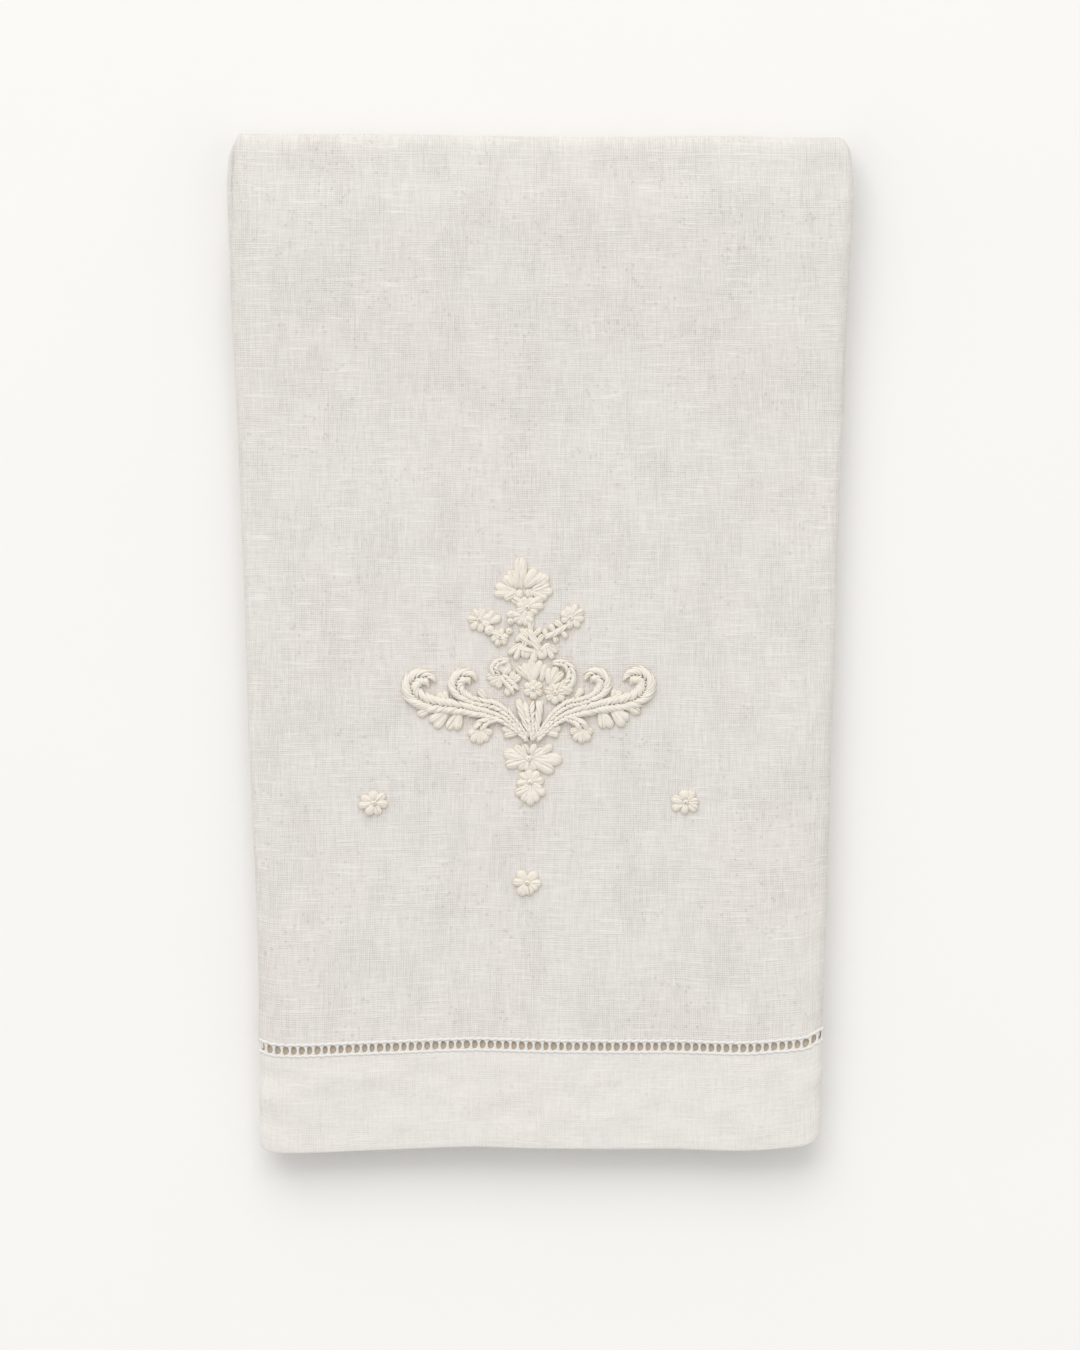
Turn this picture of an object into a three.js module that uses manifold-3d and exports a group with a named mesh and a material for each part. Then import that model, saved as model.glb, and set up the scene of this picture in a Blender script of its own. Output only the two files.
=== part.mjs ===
// A linen hand towel with a hemstitched hem and a white embroidered spray of flowers.
// The towel is one cloth. Its two sides are folded behind, and then it is folded in half,
// so that it lies face up in four layers with the embroidery on top.
// Millimetres, +Z up. The origin is under the middle of the towel, on the surface it lies on.
// X runs across the towel and Y from the hem towards the fold.
import * as THREE from "three";
import { mergeVertices } from "three/addons/utils/BufferGeometryUtils.js";
import Module from "manifold-3d";

const wasm = await Module();
wasm.setup();

// The cut cloth, before it is folded
const CUT_WIDTH = 356;
const CUT_LENGTH = 608;
const CLOTH_THICK = 1.0;
const HEM_THICK = 1.4;
const HEM_DEEP = 29.5;
const LADDER_HIGH = 2.4; // the row of drawn threads above each hem
const LADDER_THICK = 0.7;

// The folded towel
const HEM_Y = -150.7; // the front hem's edge
const FOLD_AXIS_Y = 144.9;
const FOLD_R = 6.8; // outside radius of the fold across the top
const FACE_Z = 11.2; // height of the front face
const SIDE_R_FRONT = 3.0; // outside radius of the side folds
const SIDE_R_BACK = 2.4;
const FLAP_DEEP = 3.3; // from the face of a half to the outer face of its flaps
const FLAP_EASE = 14; // over this width a side fold narrows to the flap's depth
const LAP_EXTRA = 1.9; // the right flap passes over the left one by this
const LAP_FROM = 17;
const LAP_TO = 10;

// Half widths of the folded towel at a height y: the front half and the back half, left and right
const SIDES = [
  { y: 150, frontLeft: 90.3, frontRight: 91.0, backLeft: 92.6, backRight: 90.2 },
  { y: 142, frontLeft: 91.5, frontRight: 92.4, backLeft: 93.9, backRight: 91.4 },
  { y: 131, frontLeft: 92.0, frontRight: 93.0, backLeft: 94.2, backRight: 91.8 },
  { y: 116, frontLeft: 92.9, frontRight: 92.4, backLeft: 93.4, backRight: 91.0 },
  { y: 101, frontLeft: 92.6, frontRight: 91.6, backLeft: 91.4, backRight: 90.0 },
  { y: 72, frontLeft: 91.1, frontRight: 90.4, backLeft: 89.8, backRight: 88.9 },
  { y: 13, frontLeft: 88.7, frontRight: 88.1, backLeft: 87.6, backRight: 86.7 },
  { y: -47, frontLeft: 86.6, frontRight: 86.3, backLeft: 85.5, backRight: 84.9 },
  { y: -106, frontLeft: 84.5, frontRight: 84.5, backLeft: 83.5, backRight: 83.2 },
  { y: -152, frontLeft: 83.9, frontRight: 83.2, backLeft: 82.9, backRight: 82.0 },
];

// How far the front hem and its ladder rise above their mean line, across the towel
const HEM_WAVE = [
  { across: -84.0, rise: 0.4 },
  { across: -82.5, rise: -0.1 },
  { across: -80.0, rise: -0.9 },
  { across: -75.0, rise: -1.2 },
  { across: -67.0, rise: -1.05 },
  { across: -55.0, rise: -0.5 },
  { across: -42.0, rise: 0.0 },
  { across: -30.0, rise: 0.55 },
  { across: -18.0, rise: 0.8 },
  { across: -5.0, rise: 0.4 },
  { across: 18.0, rise: 0.05 },
  { across: 40.0, rise: 0.1 },
  { across: 55.0, rise: -0.4 },
  { across: 63.0, rise: -0.35 },
  { across: 72.0, rise: 0.35 },
  { across: 77.0, rise: 0.85 },
  { across: 79.5, rise: 1.4 },
  { across: 81.4, rise: 2.5 },
  { across: 84.0, rise: 3.8 },
];
const WAVE_HOLDS = 34; // the wave keeps its height this far above the hem's edge
const WAVE_FADES = 95; // and is gone this much further up
const WAVE_LIFT = 0.3; // how far the cloth lifts for each millimetre that the hem rises
const WAVE_LIFT_MOST = 0.35;

// How far the top fold stands above its mean line, across the towel
const TOP_WAVE = [
  { across: -94, rise: 0.4 },
  { across: -84, rise: -0.1 },
  { across: -72, rise: 0.4 },
  { across: -58, rise: 0.7 },
  { across: -30, rise: 0.5 },
  { across: -6, rise: 0.0 },
  { across: 18, rise: -0.15 },
  { across: 58, rise: 0.0 },
  { across: 72, rise: -0.45 },
  { across: 94, rise: -0.75 },
];
const TOP_FADES = 40;
const FACE_EASE = 85; // the face comes down from the top fold over this length

// The embroidery, sewn to the front face
const SEW_GAP = 0.3;
const SPRAY_AT = { x: -3.6, y: -29.6 }; // where the spray's stems spring from
const NEIGHBOUR_GAP = 0.45; // each part of the spray keeps about this far from the next
const PAD_HIGH = 1.5;
const KNOT_HIGH = 1.8;
const END_SHARE = 0.45; // a band comes down to this share of its height at its two ends

// Steps of the grid that makes the cloth
const PANEL_STEPS = [0, 0.2, 0.4, 0.58, 0.74, 0.88, 1];
const SIDE_FOLD_STEPS = 5;
const FLAP_STEPS = [0.08, 0.16, 0.45, 0.7, 0.8, 0.9, 1];
const FRONT_STEPS = [12, 20, 50, 80, 110, 145, 180, 210, 235, 256, 274, 287];
const TOP_FOLD_STEPS = 8;
const BACK_STEPS = [12, 40, 90, 150, 210, 250];

const clamp01 = (t) => Math.min(1, Math.max(0, t));
const smooth = (t) => clamp01(t) ** 2 * (3 - 2 * clamp01(t));

// A smooth curve through a table's column: rows are sorted, rising or falling, by their key.
function fromTable(table, key, column, at) {
  const rising = table[1][key] > table[0][key];
  const rows = rising ? table : [...table].reverse();
  const last = rows.length - 1;
  if (at <= rows[0][key]) return rows[0][column];
  if (at >= rows[last][key]) return rows[last][column];
  const i = rows.findIndex((row) => row[key] > at) - 1;
  const slope = (k) => {
    const [before, after] = [rows[Math.max(k - 1, 0)], rows[Math.min(k + 1, last)]];
    return (after[column] - before[column]) / (after[key] - before[key]);
  };
  const span = rows[i + 1][key] - rows[i][key];
  const t = (at - rows[i][key]) / span;
  return (
    rows[i][column] * (1 + 2 * t) * (1 - t) ** 2 +
    slope(i) * span * t * (1 - t) ** 2 +
    rows[i + 1][column] * t * t * (3 - 2 * t) +
    slope(i + 1) * span * t * t * (t - 1)
  );
}

const FRONT_LONG = FOLD_AXIS_Y - HEM_Y;
const FOLD_LONG = Math.PI * FOLD_R;

// How far along the cut cloth's length becomes a height y and a turn round the top fold.
function alongFold(along) {
  if (along <= FRONT_LONG) return { y: HEM_Y + along, turn: 0 };
  const turn = Math.min(Math.PI, (along - FRONT_LONG) / FOLD_R);
  const past = Math.max(0, along - FRONT_LONG - FOLD_LONG);
  return { y: FOLD_AXIS_Y - past + FOLD_R * Math.sin(turn), turn };
}

// The half width and side fold radius of the towel at one place along the cloth.
function sideAt(along, side) {
  const { y, turn } = alongFold(along);
  const hand = side < 0 ? "Left" : "Right";
  const share = smooth(turn / Math.PI);
  const front = fromTable(SIDES, "y", "front" + hand, y);
  const back = fromTable(SIDES, "y", "back" + hand, y);
  return {
    half: front + (back - front) * share,
    radius: SIDE_R_FRONT + (SIDE_R_BACK - SIDE_R_FRONT) * share,
  };
}

// The sides folded behind: a distance from the middle line becomes x and a depth below the face.
function acrossFold(along, across) {
  const side = across < 0 ? -1 : 1;
  const { half, radius } = sideAt(along, side);
  const flat = half - radius;
  const beyond = Math.abs(across) - flat;
  if (beyond <= 0) return { x: across, deep: 0 };
  const bend = beyond / radius;
  if (bend <= Math.PI) {
    return { x: side * (flat + radius * Math.sin(bend)), deep: radius * (1 - Math.cos(bend)) };
  }
  const inward = beyond - Math.PI * radius;
  const x = flat - inward;
  const eased = smooth(inward / FLAP_EASE);
  const lapped = side > 0 ? LAP_EXTRA * smooth((LAP_FROM - x) / (LAP_FROM - LAP_TO)) : 0;
  return { x: side * x, deep: 2 * radius + (FLAP_DEEP - 2 * radius) * eased + lapped };
}

// The place in space of the cloth's right side, for a place on the cut cloth.
function rightSide(across, along) {
  const { x, deep } = acrossFold(along, across);
  const wave = fromTable(HEM_WAVE, "across", "rise", x);
  const waveShare = 1 - smooth((along - WAVE_HOLDS) / WAVE_FADES);
  const topRise = fromTable(TOP_WAVE, "across", "rise", x);
  const topShare = smooth(1 - (FRONT_LONG - along) / TOP_FADES);
  if (along <= FRONT_LONG) {
    const drop = (2 * FOLD_R - FACE_Z) * smooth((FRONT_LONG - along) / FACE_EASE);
    const lift = Math.min(WAVE_LIFT_MOST, Math.max(-WAVE_LIFT_MOST, wave * WAVE_LIFT));
    const y = HEM_Y + along + wave * waveShare + topRise * topShare;
    return [x, y, 2 * FOLD_R - drop - deep + lift * waveShare ** 3];
  }
  const turn = Math.min(Math.PI, (along - FRONT_LONG) / FOLD_R);
  const past = Math.max(0, along - FRONT_LONG - FOLD_LONG);
  const backShare = past > 0 ? smooth(1 - past / TOP_FADES) : 1;
  const reach = FOLD_R - deep;
  return [
    x,
    FOLD_AXIS_Y - past + reach * Math.sin(turn) + topRise * backShare,
    FOLD_R + reach * Math.cos(turn),
  ];
}

// The thickness of the cloth: its hems are folded double, and its ladders are thin.
function thickAt(along) {
  const fromEnd = Math.min(along, CUT_LENGTH - along);
  if (fromEnd <= HEM_DEEP) return HEM_THICK;
  return fromEnd < HEM_DEEP + LADDER_HIGH ? LADDER_THICK : CLOTH_THICK;
}

// Places across the cloth for one place along it: flap, side fold, panel, side fold, flap.
function acrossSteps(along) {
  const oneSide = (side) => {
    const { half, radius } = sideAt(along, side);
    const flat = half - radius;
    const flapFrom = flat + Math.PI * radius;
    const steps = PANEL_STEPS.map((share) => flat * share);
    for (let i = 1; i <= SIDE_FOLD_STEPS; i++) {
      steps.push(flat + (Math.PI * radius * i) / SIDE_FOLD_STEPS);
    }
    FLAP_STEPS.forEach((share) => steps.push(flapFrom + (CUT_WIDTH / 2 - flapFrom) * share));
    return steps;
  };
  const left = oneSide(-1).map((across) => -across);
  return [...left.reverse(), ...oneSide(1).slice(1)];
}

function alongSteps() {
  const step = 0.05; // the ladder's edges are nearly upright steps in the thickness
  const ladder = [HEM_DEEP, HEM_DEEP + step, HEM_DEEP + LADDER_HIGH - step, HEM_DEEP + LADDER_HIGH];
  const front = [0, ...FRONT_STEPS, ...ladder].sort((a, b) => a - b);
  const top = [];
  for (let i = 0; i <= TOP_FOLD_STEPS; i++) top.push(FRONT_LONG + (FOLD_LONG * i) / TOP_FOLD_STEPS);
  const backFrom = FRONT_LONG + FOLD_LONG;
  const back = BACK_STEPS.map((past) => backFrom + past);
  const ladderBack = [...ladder].reverse().map((fromEnd) => CUT_LENGTH - fromEnd);
  return [...front, ...top, ...back, ...ladderBack, CUT_LENGTH - HEM_DEEP / 2, CUT_LENGTH];
}

// The cloth: a grid of its right side, a grid of its wrong side, and the edge between them.
function makeCloth() {
  const rows = alongSteps();
  const grid = rows.map((along) => acrossSteps(along).map((across) => rightSide(across, along)));
  const columns = grid[0].length;
  const at = (row, column) => new THREE.Vector3(...grid[row][column]);
  const points = [];
  const index = [];
  grid.forEach((line) => line.forEach((p) => points.push(...p)));
  rows.forEach((along, r) => {
    for (let c = 0; c < columns; c++) {
      const [left, right] = [Math.max(c - 1, 0), Math.min(c + 1, columns - 1)];
      const [low, high] = [Math.max(r - 1, 0), Math.min(r + 1, rows.length - 1)];
      const acrossward = at(r, right).sub(at(r, left));
      const alongward = at(high, c).sub(at(low, c));
      const inward = acrossward.cross(alongward).normalize().multiplyScalar(-thickAt(along));
      points.push(...at(r, c).add(inward).toArray());
    }
  });
  const wrong = rows.length * columns;
  const quad = (a, b, c, d) => index.push(a, b, c, a, c, d);
  for (let r = 0; r + 1 < rows.length; r++) {
    for (let c = 0; c + 1 < columns; c++) {
      const p = r * columns + c;
      quad(p, p + 1, p + 1 + columns, p + columns);
      quad(wrong + p, wrong + p + columns, wrong + p + 1 + columns, wrong + p + 1);
    }
    const [left, right] = [r * columns, (r + 1) * columns - 1];
    quad(left, left + columns, wrong + left + columns, wrong + left);
    quad(right, wrong + right, wrong + right + columns, right + columns);
  }
  for (let c = 0; c + 1 < columns; c++) {
    const last = (rows.length - 1) * columns + c;
    quad(c, wrong + c, wrong + c + 1, c + 1);
    quad(last, last + 1, wrong + last + 1, wrong + last);
  }
  const geometry = new THREE.BufferGeometry();
  geometry.setAttribute("position", new THREE.Float32BufferAttribute(points, 3));
  geometry.setIndex(index);
  return geometry;
}

// Embroidery: every petal, leaf, stem and scroll is a padded band of stitches along a path.
// A band is [[x, y, half width], ...] from the spray's own origin.
const band = (path) => ({ path, high: PAD_HIGH });

const PETAL_SHAPE = [
  { share: 0, width: 0.4 },
  { share: 0.45, width: 0.96 },
  { share: 0.8, width: 0.88 },
  { share: 1, width: 0.34 },
];

function petal(x, y, turn, long, wide, high = PAD_HIGH) {
  const angle = (turn * Math.PI) / 180;
  const path = PETAL_SHAPE.map(({ share, width }) => [
    x + Math.cos(angle) * long * share,
    y + Math.sin(angle) * long * share,
    (wide / 2) * width,
  ]);
  return { path, high };
}

// A round knot of thread.
const knot = (x, y, radius) => petal(x - radius, y, 0, radius * 2, radius * 2, KNOT_HIGH);

// Petals that spread from one place, each with its own turn, length and width.
const spread = (x, y, petals) => petals.map(([turn, long, wide]) => petal(x, y, turn, long, wide));

// A ring of equal petals round a knot.
function rosette(x, y, count, long, wide, start) {
  const made = [knot(x, y, wide * 0.4)];
  for (let i = 0; i < count; i++) made.push(petal(x, y, start + (360 * i) / count, long, wide));
  return made;
}

// A small flower of uneven petals round a knot.
const floret = (x, y, petals) => [knot(x, y, 0.9), ...spread(x, y, petals)];

// The same bands on the other side of the line x = axis, with their ends a little higher.
const otherSide = (bands, axis, reach, climb) =>
  bands.map(({ path, high }) => ({
    path: path.map(([x, y, half]) => [axis + reach * (axis - x), y + climb * (axis - x), half]).reverse(),
    high,
  }));

const STEMS = [
  band([
    [1.0, 1.0, 0.5],
    [0.7, 4.5, 0.9],
    [0.2, 8.5, 1.4],
    [-0.2, 12.6, 1.7],
  ]),
  band([
    [1.9, 1.2, 0.5],
    [2.3, 5.0, 0.9],
    [2.8, 9.0, 1.1],
    [3.2, 12.8, 1.1],
  ]),
  band([
    [0.4, 2.0, 0.4],
    [-1.2, 6.0, 0.8],
    [-2.5, 10.4, 1.1],
    [-3.4, 13.4, 0.7],
  ]),
];

const SCROLL = [
  band([
    [-0.4, 1.9, 0.4],
    [-3.4, 5.8, 0.8],
    [-6.8, 9.4, 1.1],
    [-10.5, 11.6, 1.3],
    [-14.6, 12.4, 1.3],
    [-18.4, 13.6, 1.4],
    [-21.2, 15.8, 1.7],
    [-21.7, 18.4, 1.7],
    [-20.0, 20.2, 1.6],
    [-17.6, 19.9, 1.4],
    [-16.7, 18.2, 0.8],
  ]),
  band([
    [-0.6, 0.9, 0.4],
    [-4.0, 4.4, 0.8],
    [-8.0, 7.3, 1.2],
    [-12.0, 8.9, 1.5],
    [-17.0, 10.0, 1.8],
    [-22.0, 11.0, 2.0],
    [-27.0, 11.6, 2.4],
    [-31.4, 12.6, 2.5],
    [-34.5, 14.8, 2.4],
    [-35.2, 17.7, 2.1],
    [-33.2, 19.8, 1.9],
    [-30.2, 19.5, 1.6],
    [-28.9, 17.8, 0.9],
  ]),
  ...spread(-24.0, 10.6, [
    [-146, 7.0, 2.8],
    [-124, 7.2, 3.0],
  ]),
  ...spread(-20.6, 10.0, [
    [-124, 6.8, 2.8],
    [-100, 6.0, 2.8],
  ]),
  petal(-28.6, 11.2, -150, 5.4, 2.6),
  petal(-10.6, 10.0, 176, 7.0, 2.2),
  band([
    [-8.8, 7.6, 0.6],
    [-11.8, 7.0, 1.1],
    [-14.4, 5.6, 1.7],
    [-15.4, 3.4, 1.8],
  ]),
  ...spread(-15.0, 4.6, [
    [-150, 3.8, 2.2],
    [-117, 4.6, 2.4],
    [-86, 4.8, 2.4],
    [-55, 4.6, 2.4],
    [-20, 4.4, 2.2],
  ]),
  ...spread(-3.0, 3.4, [
    [166, 5.4, 2.2],
    [-168, 4.6, 2.0],
  ]),
  ...spread(-24.4, 12.6, [
    [142, 4.0, 2.2],
    [104, 3.4, 2.0],
  ]),
  ...spread(-12.6, 13.0, [
    [128, 4.2, 2.2],
  ]),
];

const BOUQUET_LEFT = [
  band([
    [-6.0, 24.8, 0.6],
    [-8.8, 24.6, 1.1],
    [-10.6, 22.6, 1.3],
    [-9.6, 20.4, 1.2],
  ]),
  band([
    [-8.2, 20.4, 1.1],
    [-5.8, 18.0, 1.4],
    [-3.8, 15.6, 1.4],
  ]),
  ...spread(-8.0, 20.2, [
    [184, 4.8, 2.4],
    [214, 4.4, 2.4],
    [248, 4.0, 2.2],
    [48, 3.6, 2.2],
  ]),
  ...spread(-5.4, 18.0, [
    [-112, 4.0, 2.2],
    [42, 3.8, 2.2],
    [80, 3.8, 2.2],
  ]),
  ...spread(-5.6, 20.8, [
    [146, 5.8, 2.6],
    [112, 5.0, 2.4],
  ]),
];

const BOUQUET_MIDDLE = [
  ...rosette(1.2, 16.4, 6, 3.2, 2.3, 30),
  ...spread(0.8, 18.2, [
    [112, 6.4, 2.4],
    [90, 7.4, 2.4],
    [68, 7.2, 2.4],
  ]),
  petal(3.4, 18.4, 74, 5.6, 2.2),
  petal(0.2, 19.2, 136, 5.6, 2.4),
];

const BOUQUET_RIGHT = [
  ...rosette(7.8, 15.2, 7, 3.5, 2.4, 10),
  band([
    [7.0, 24.2, 0.6],
    [10.4, 24.0, 1.1],
    [12.4, 21.8, 1.4],
    [12.2, 18.8, 1.5],
    [10.4, 16.4, 1.3],
  ]),
  ...spread(5.8, 17.4, [
    [92, 5.4, 2.2],
    [66, 6.4, 2.3],
    [42, 6.0, 2.3],
  ]),
  ...spread(8.8, 17.4, [
    [16, 5.4, 3.2],
    [-26, 4.6, 3.0],
  ]),
];

const LEAFY_STEM = [
  band([
    [2.9, 26.8, 0.5],
    [2.2, 28.8, 0.8],
    [0.9, 31.4, 0.9],
    [0.0, 34.4, 0.8],
  ]),
  ...spread(2.6, 27.2, [
    [166, 6.2, 1.8],
    [36, 4.6, 1.8],
  ]),
  ...spread(1.8, 29.0, [
    [148, 6.0, 1.8],
    [58, 4.4, 1.8],
  ]),
  ...spread(0.6, 31.6, [
    [142, 4.4, 1.8],
    [44, 4.2, 1.8],
  ]),
  ...spread(-2.2, 30.2, [
    [-140, 5.4, 1.9],
    [-112, 5.6, 1.9],
    [-84, 4.6, 1.7],
  ]),
  ...spread(4.6, 30.0, [
    [-34, 4.8, 1.9],
    [-62, 5.4, 1.9],
    [-90, 4.4, 1.7],
  ]),
  ...spread(-0.2, 34.6, [
    [-62, 7.6, 1.9],
    [-104, 6.4, 1.8],
    [-134, 5.6, 1.9],
  ]),
  ...spread(1.6, 28.6, [
    [-96, 4.6, 2.2],
    [-140, 4.4, 2.0],
    [-50, 4.2, 2.0],
  ]),
  petal(0.2, 33.0, 86, 4.2, 2.0),
];

const SPRIG_LEFT = [
  ...rosette(-14.8, 36.9, 7, 3.7, 2.3, 20),
  knot(-11.9, 33.9, 1.6),
  ...rosette(-8.8, 31.8, 6, 2.9, 2.0, 12),
  knot(-6.0, 33.6, 1.1),
  band([
    [-12.6, 34.8, 0.7],
    [-9.6, 32.4, 0.8],
    [-6.6, 30.6, 0.7],
  ]),
  ...spread(-12.4, 36.0, [
    [64, 4.2, 2.4],
    [24, 4.4, 2.4],
  ]),
];

const SPRIG_RIGHT = [
  ...spread(12.3, 37.6, [
    [150, 3.5, 2.2],
    [106, 3.5, 2.2],
    [66, 4.4, 2.2],
    [30, 4.5, 2.2],
    [-6, 4.1, 2.2],
    [-46, 3.9, 2.2],
    [-98, 3.4, 2.2],
    [-160, 3.0, 2.2],
  ]),
  knot(12.4, 37.5, 1.0),
  band([
    [11.4, 35.4, 0.6],
    [8.0, 33.2, 0.9],
    [4.4, 31.6, 0.6],
  ]),
  petal(10.4, 34.8, 150, 3.4, 2.0),
  petal(9.6, 34.0, -58, 3.0, 1.9),
  petal(7.8, 33.0, 122, 3.2, 1.9),
  petal(7.2, 32.6, -66, 2.8, 1.8),
  petal(5.4, 31.8, 112, 2.8, 1.8),
];

const ROSETTE = [
  ...rosette(-0.5, 40.6, 8, 3.6, 2.2, 22),
  knot(-5.4, 38.6, 1.3),
  knot(-5.6, 36.6, 1.1),
  ...spread(-1.6, 38.4, [
    [176, 4.0, 2.0],
    [-152, 3.8, 2.0],
    [-118, 3.4, 2.0],
    [-76, 3.4, 2.0],
    [-36, 3.6, 2.0],
  ]),
  ...spread(-0.6, 41.0, [
    [150, 5.6, 2.6],
    [30, 5.6, 2.6],
    [2, 5.0, 2.4],
  ]),
];

const CROWN = [
  petal(-2.6, 46.0, 90, 9.6, 3.8),
  petal(-3.4, 46.2, 114, 6.2, 3.0),
  ...spread(-1.6, 46.6, [
    [58, 6.6, 3.0],
    [36, 6.0, 2.8],
  ]),
  ...spread(0.4, 45.4, [
    [24, 6.2, 2.8],
    [0, 6.6, 2.9],
    [-24, 5.4, 2.4],
  ]),
  ...spread(-3.4, 45.2, [
    [164, 7.0, 2.8],
    [184, 7.0, 2.6],
    [206, 4.6, 2.2],
  ]),
  petal(-2.4, 46.2, -112, 3.0, 2.6),
  petal(-0.4, 46.4, -76, 3.0, 2.6),
  ...spread(2.2, 47.0, [
    [76, 4.4, 3.2],
    [44, 4.8, 3.0],
  ]),
  ...spread(-4.6, 46.6, [
    [132, 4.6, 3.0],
  ]),
];

const BOW = [
  knot(-0.1, -4.4, 1.1),
  ...spread(-0.2, -4.4, [
    [168, 7.6, 3.6],
    [196, 7.2, 3.2],
    [138, 5.8, 2.6],
    [28, 5.8, 2.8],
    [-2, 10.0, 3.8],
    [-27, 8.4, 3.4],
    [-62, 4.2, 2.4],
    [-97, 3.9, 2.4],
    [-132, 4.4, 2.4],
  ]),
  petal(2.6, -3.6, 38, 5.4, 2.4),
  petal(-0.2, -3.4, 114, 3.8, 2.2),
  petal(0.2, -3.4, 64, 3.8, 2.2),
];

const PENDANT = [
  ...rosette(0.3, -11.4, 8, 4.2, 2.5, 8),
  ...spread(0.3, -12.8, [
    [-154, 5.0, 2.6],
    [-116, 5.0, 2.6],
    [-90, 5.6, 2.6],
    [-64, 5.0, 2.6],
    [-26, 5.0, 2.6],
  ]),
];

const SPRAY_AXIS_X = 0.9;

// Nodes of the spray: the first is whole, and each later one is cut clear of those before it.
const SPRAY = {
  stems: STEMS,
  bow: BOW,
  pendant: PENDANT,
  scroll_left: SCROLL,
  scroll_right: otherSide(SCROLL, SPRAY_AXIS_X, 0.94, 0.02),
  bouquet_middle: BOUQUET_MIDDLE,
  bouquet_left: BOUQUET_LEFT,
  bouquet_right: BOUQUET_RIGHT,
  leafy_stem: LEAFY_STEM,
  rosette: ROSETTE,
  crown: CROWN,
  sprig_left: SPRIG_LEFT,
  sprig_right: SPRIG_RIGHT,
};

// Three small flowers that stand by themselves, from the spray's origin
const FLORETS = {
  floret_left: floret(-46.2, -17.6, [
    [96, 3.8, 3.0],
    [156, 4.4, 2.4],
    [192, 4.8, 2.2],
    [238, 4.2, 2.8],
    [292, 3.9, 2.5],
    [354, 4.1, 2.5],
    [40, 4.2, 2.3],
  ]),
  floret_right: floret(46.7, -17.4, [
    [100, 3.9, 3.2],
    [54, 4.3, 2.4],
    [4, 4.0, 2.4],
    [-34, 4.2, 2.8],
    [-98, 3.6, 2.4],
    [-154, 4.6, 2.5],
    [166, 4.6, 2.7],
  ]),
  floret_low: floret(-0.6, -41.4, [
    [126, 4.4, 3.0],
    [48, 4.3, 3.0],
    [-4, 4.3, 2.4],
    [-32, 3.8, 2.2],
    [-76, 3.9, 2.6],
    [-122, 4.5, 3.2],
    [176, 4.5, 2.4],
  ]),
};

// One padded band as a closed solid: a low arch with a flat foot, wider and taller by grow.
function padSolid({ path, high }, grow) {
  const foot = FACE_Z + SEW_GAP - grow;
  const arch = [
    [-1, 0],
    [-0.6, 0.9],
    [0.4, 1],
    [1, 0],
  ];
  const middles = path.map(([x, y]) => new THREE.Vector2(x, y));
  const last = path.length - 1;
  const points = [];
  path.forEach(([x, y, half], i) => {
    const way = middles[Math.min(i + 1, last)].clone().sub(middles[Math.max(i - 1, 0)]).normalize();
    const ahead = i === 0 ? -grow : i === last ? grow : 0;
    const top = (high + 2 * grow) * (i === 0 || i === last ? END_SHARE : 1);
    arch.forEach(([side, rise]) => {
      const out = side * (half + grow);
      points.push(
        SPRAY_AT.x + x + way.y * out + way.x * ahead,
        SPRAY_AT.y + y - way.x * out + way.y * ahead,
        foot + rise * top,
      );
    });
  });
  const n = arch.length;
  const index = [];
  for (let i = 0; i < last; i++) {
    for (let j = 0; j < n; j++) {
      const [a, b] = [i * n + j, i * n + ((j + 1) % n)];
      index.push(a, b, b + n, a, b + n, a + n);
    }
  }
  for (let j = 1; j + 1 < n; j++) {
    index.push(0, j + 1, j);
    index.push(last * n, last * n + j, last * n + j + 1);
  }
  return solidOf(points, index);
}

function solidOf(points, index) {
  const mesh = new wasm.Mesh({
    numProp: 3,
    vertProperties: new Float32Array(points),
    triVerts: new Uint32Array(index),
  });
  return new wasm.Manifold(mesh);
}

function geometryOf(solid) {
  const { vertProperties, triVerts, numProp } = solid.getMesh();
  const points = [];
  for (let i = 0; i < vertProperties.length; i += numProp) {
    points.push(vertProperties[i], vertProperties[i + 1], vertProperties[i + 2]);
  }
  const geometry = new THREE.BufferGeometry();
  geometry.setAttribute("position", new THREE.Float32BufferAttribute(points, 3));
  geometry.setIndex([...triVerts]);
  return mergeVertices(geometry, 1e-4);
}

const united = (bands, grow) =>
  bands.map((one) => padSolid(one, grow)).reduce((whole, pad) => whole.add(pad));

const LINEN = new THREE.MeshStandardMaterial({ color: 0xe3ded8, roughness: 0.95, metalness: 0 });
const THREAD = new THREE.MeshStandardMaterial({ color: 0xf1ebdd, roughness: 0.7, metalness: 0 });

function named(name, geometry, material) {
  const mesh = new THREE.Mesh(geometry, material);
  mesh.name = name;
  return mesh;
}

const towel = new THREE.Group();
towel.add(named("cloth", makeCloth(), LINEN));

let taken = null;
for (const [name, bands] of Object.entries(SPRAY)) {
  const whole = united(bands, 0);
  const clear = taken ? whole.subtract(taken) : whole;
  const room = united(bands, NEIGHBOUR_GAP);
  taken = taken ? taken.add(room) : room;
  towel.add(named(name, geometryOf(clear), THREAD));
}
for (const [name, bands] of Object.entries(FLORETS)) {
  towel.add(named(name, geometryOf(united(bands, 0)), THREAD));
}

// The part's own origin is under the middle of the box that holds it.
const box = new THREE.Box3().setFromObject(towel);
const middle = box.getCenter(new THREE.Vector3());
towel.position.set(-middle.x, -middle.y, -box.min.z);

export default towel;
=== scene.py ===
# A folded linen hand towel with a hemstitched hem and a raised white flower spray, lying face up.
# A point of the cloth starts as a place on it when it lay flat, in millimetres across and along.
# It is then folded as the real one is: the two sides behind, and the whole in half.
# Lengths are millimetres, and each mesh is scaled to metres when it is made.
import math

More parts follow.
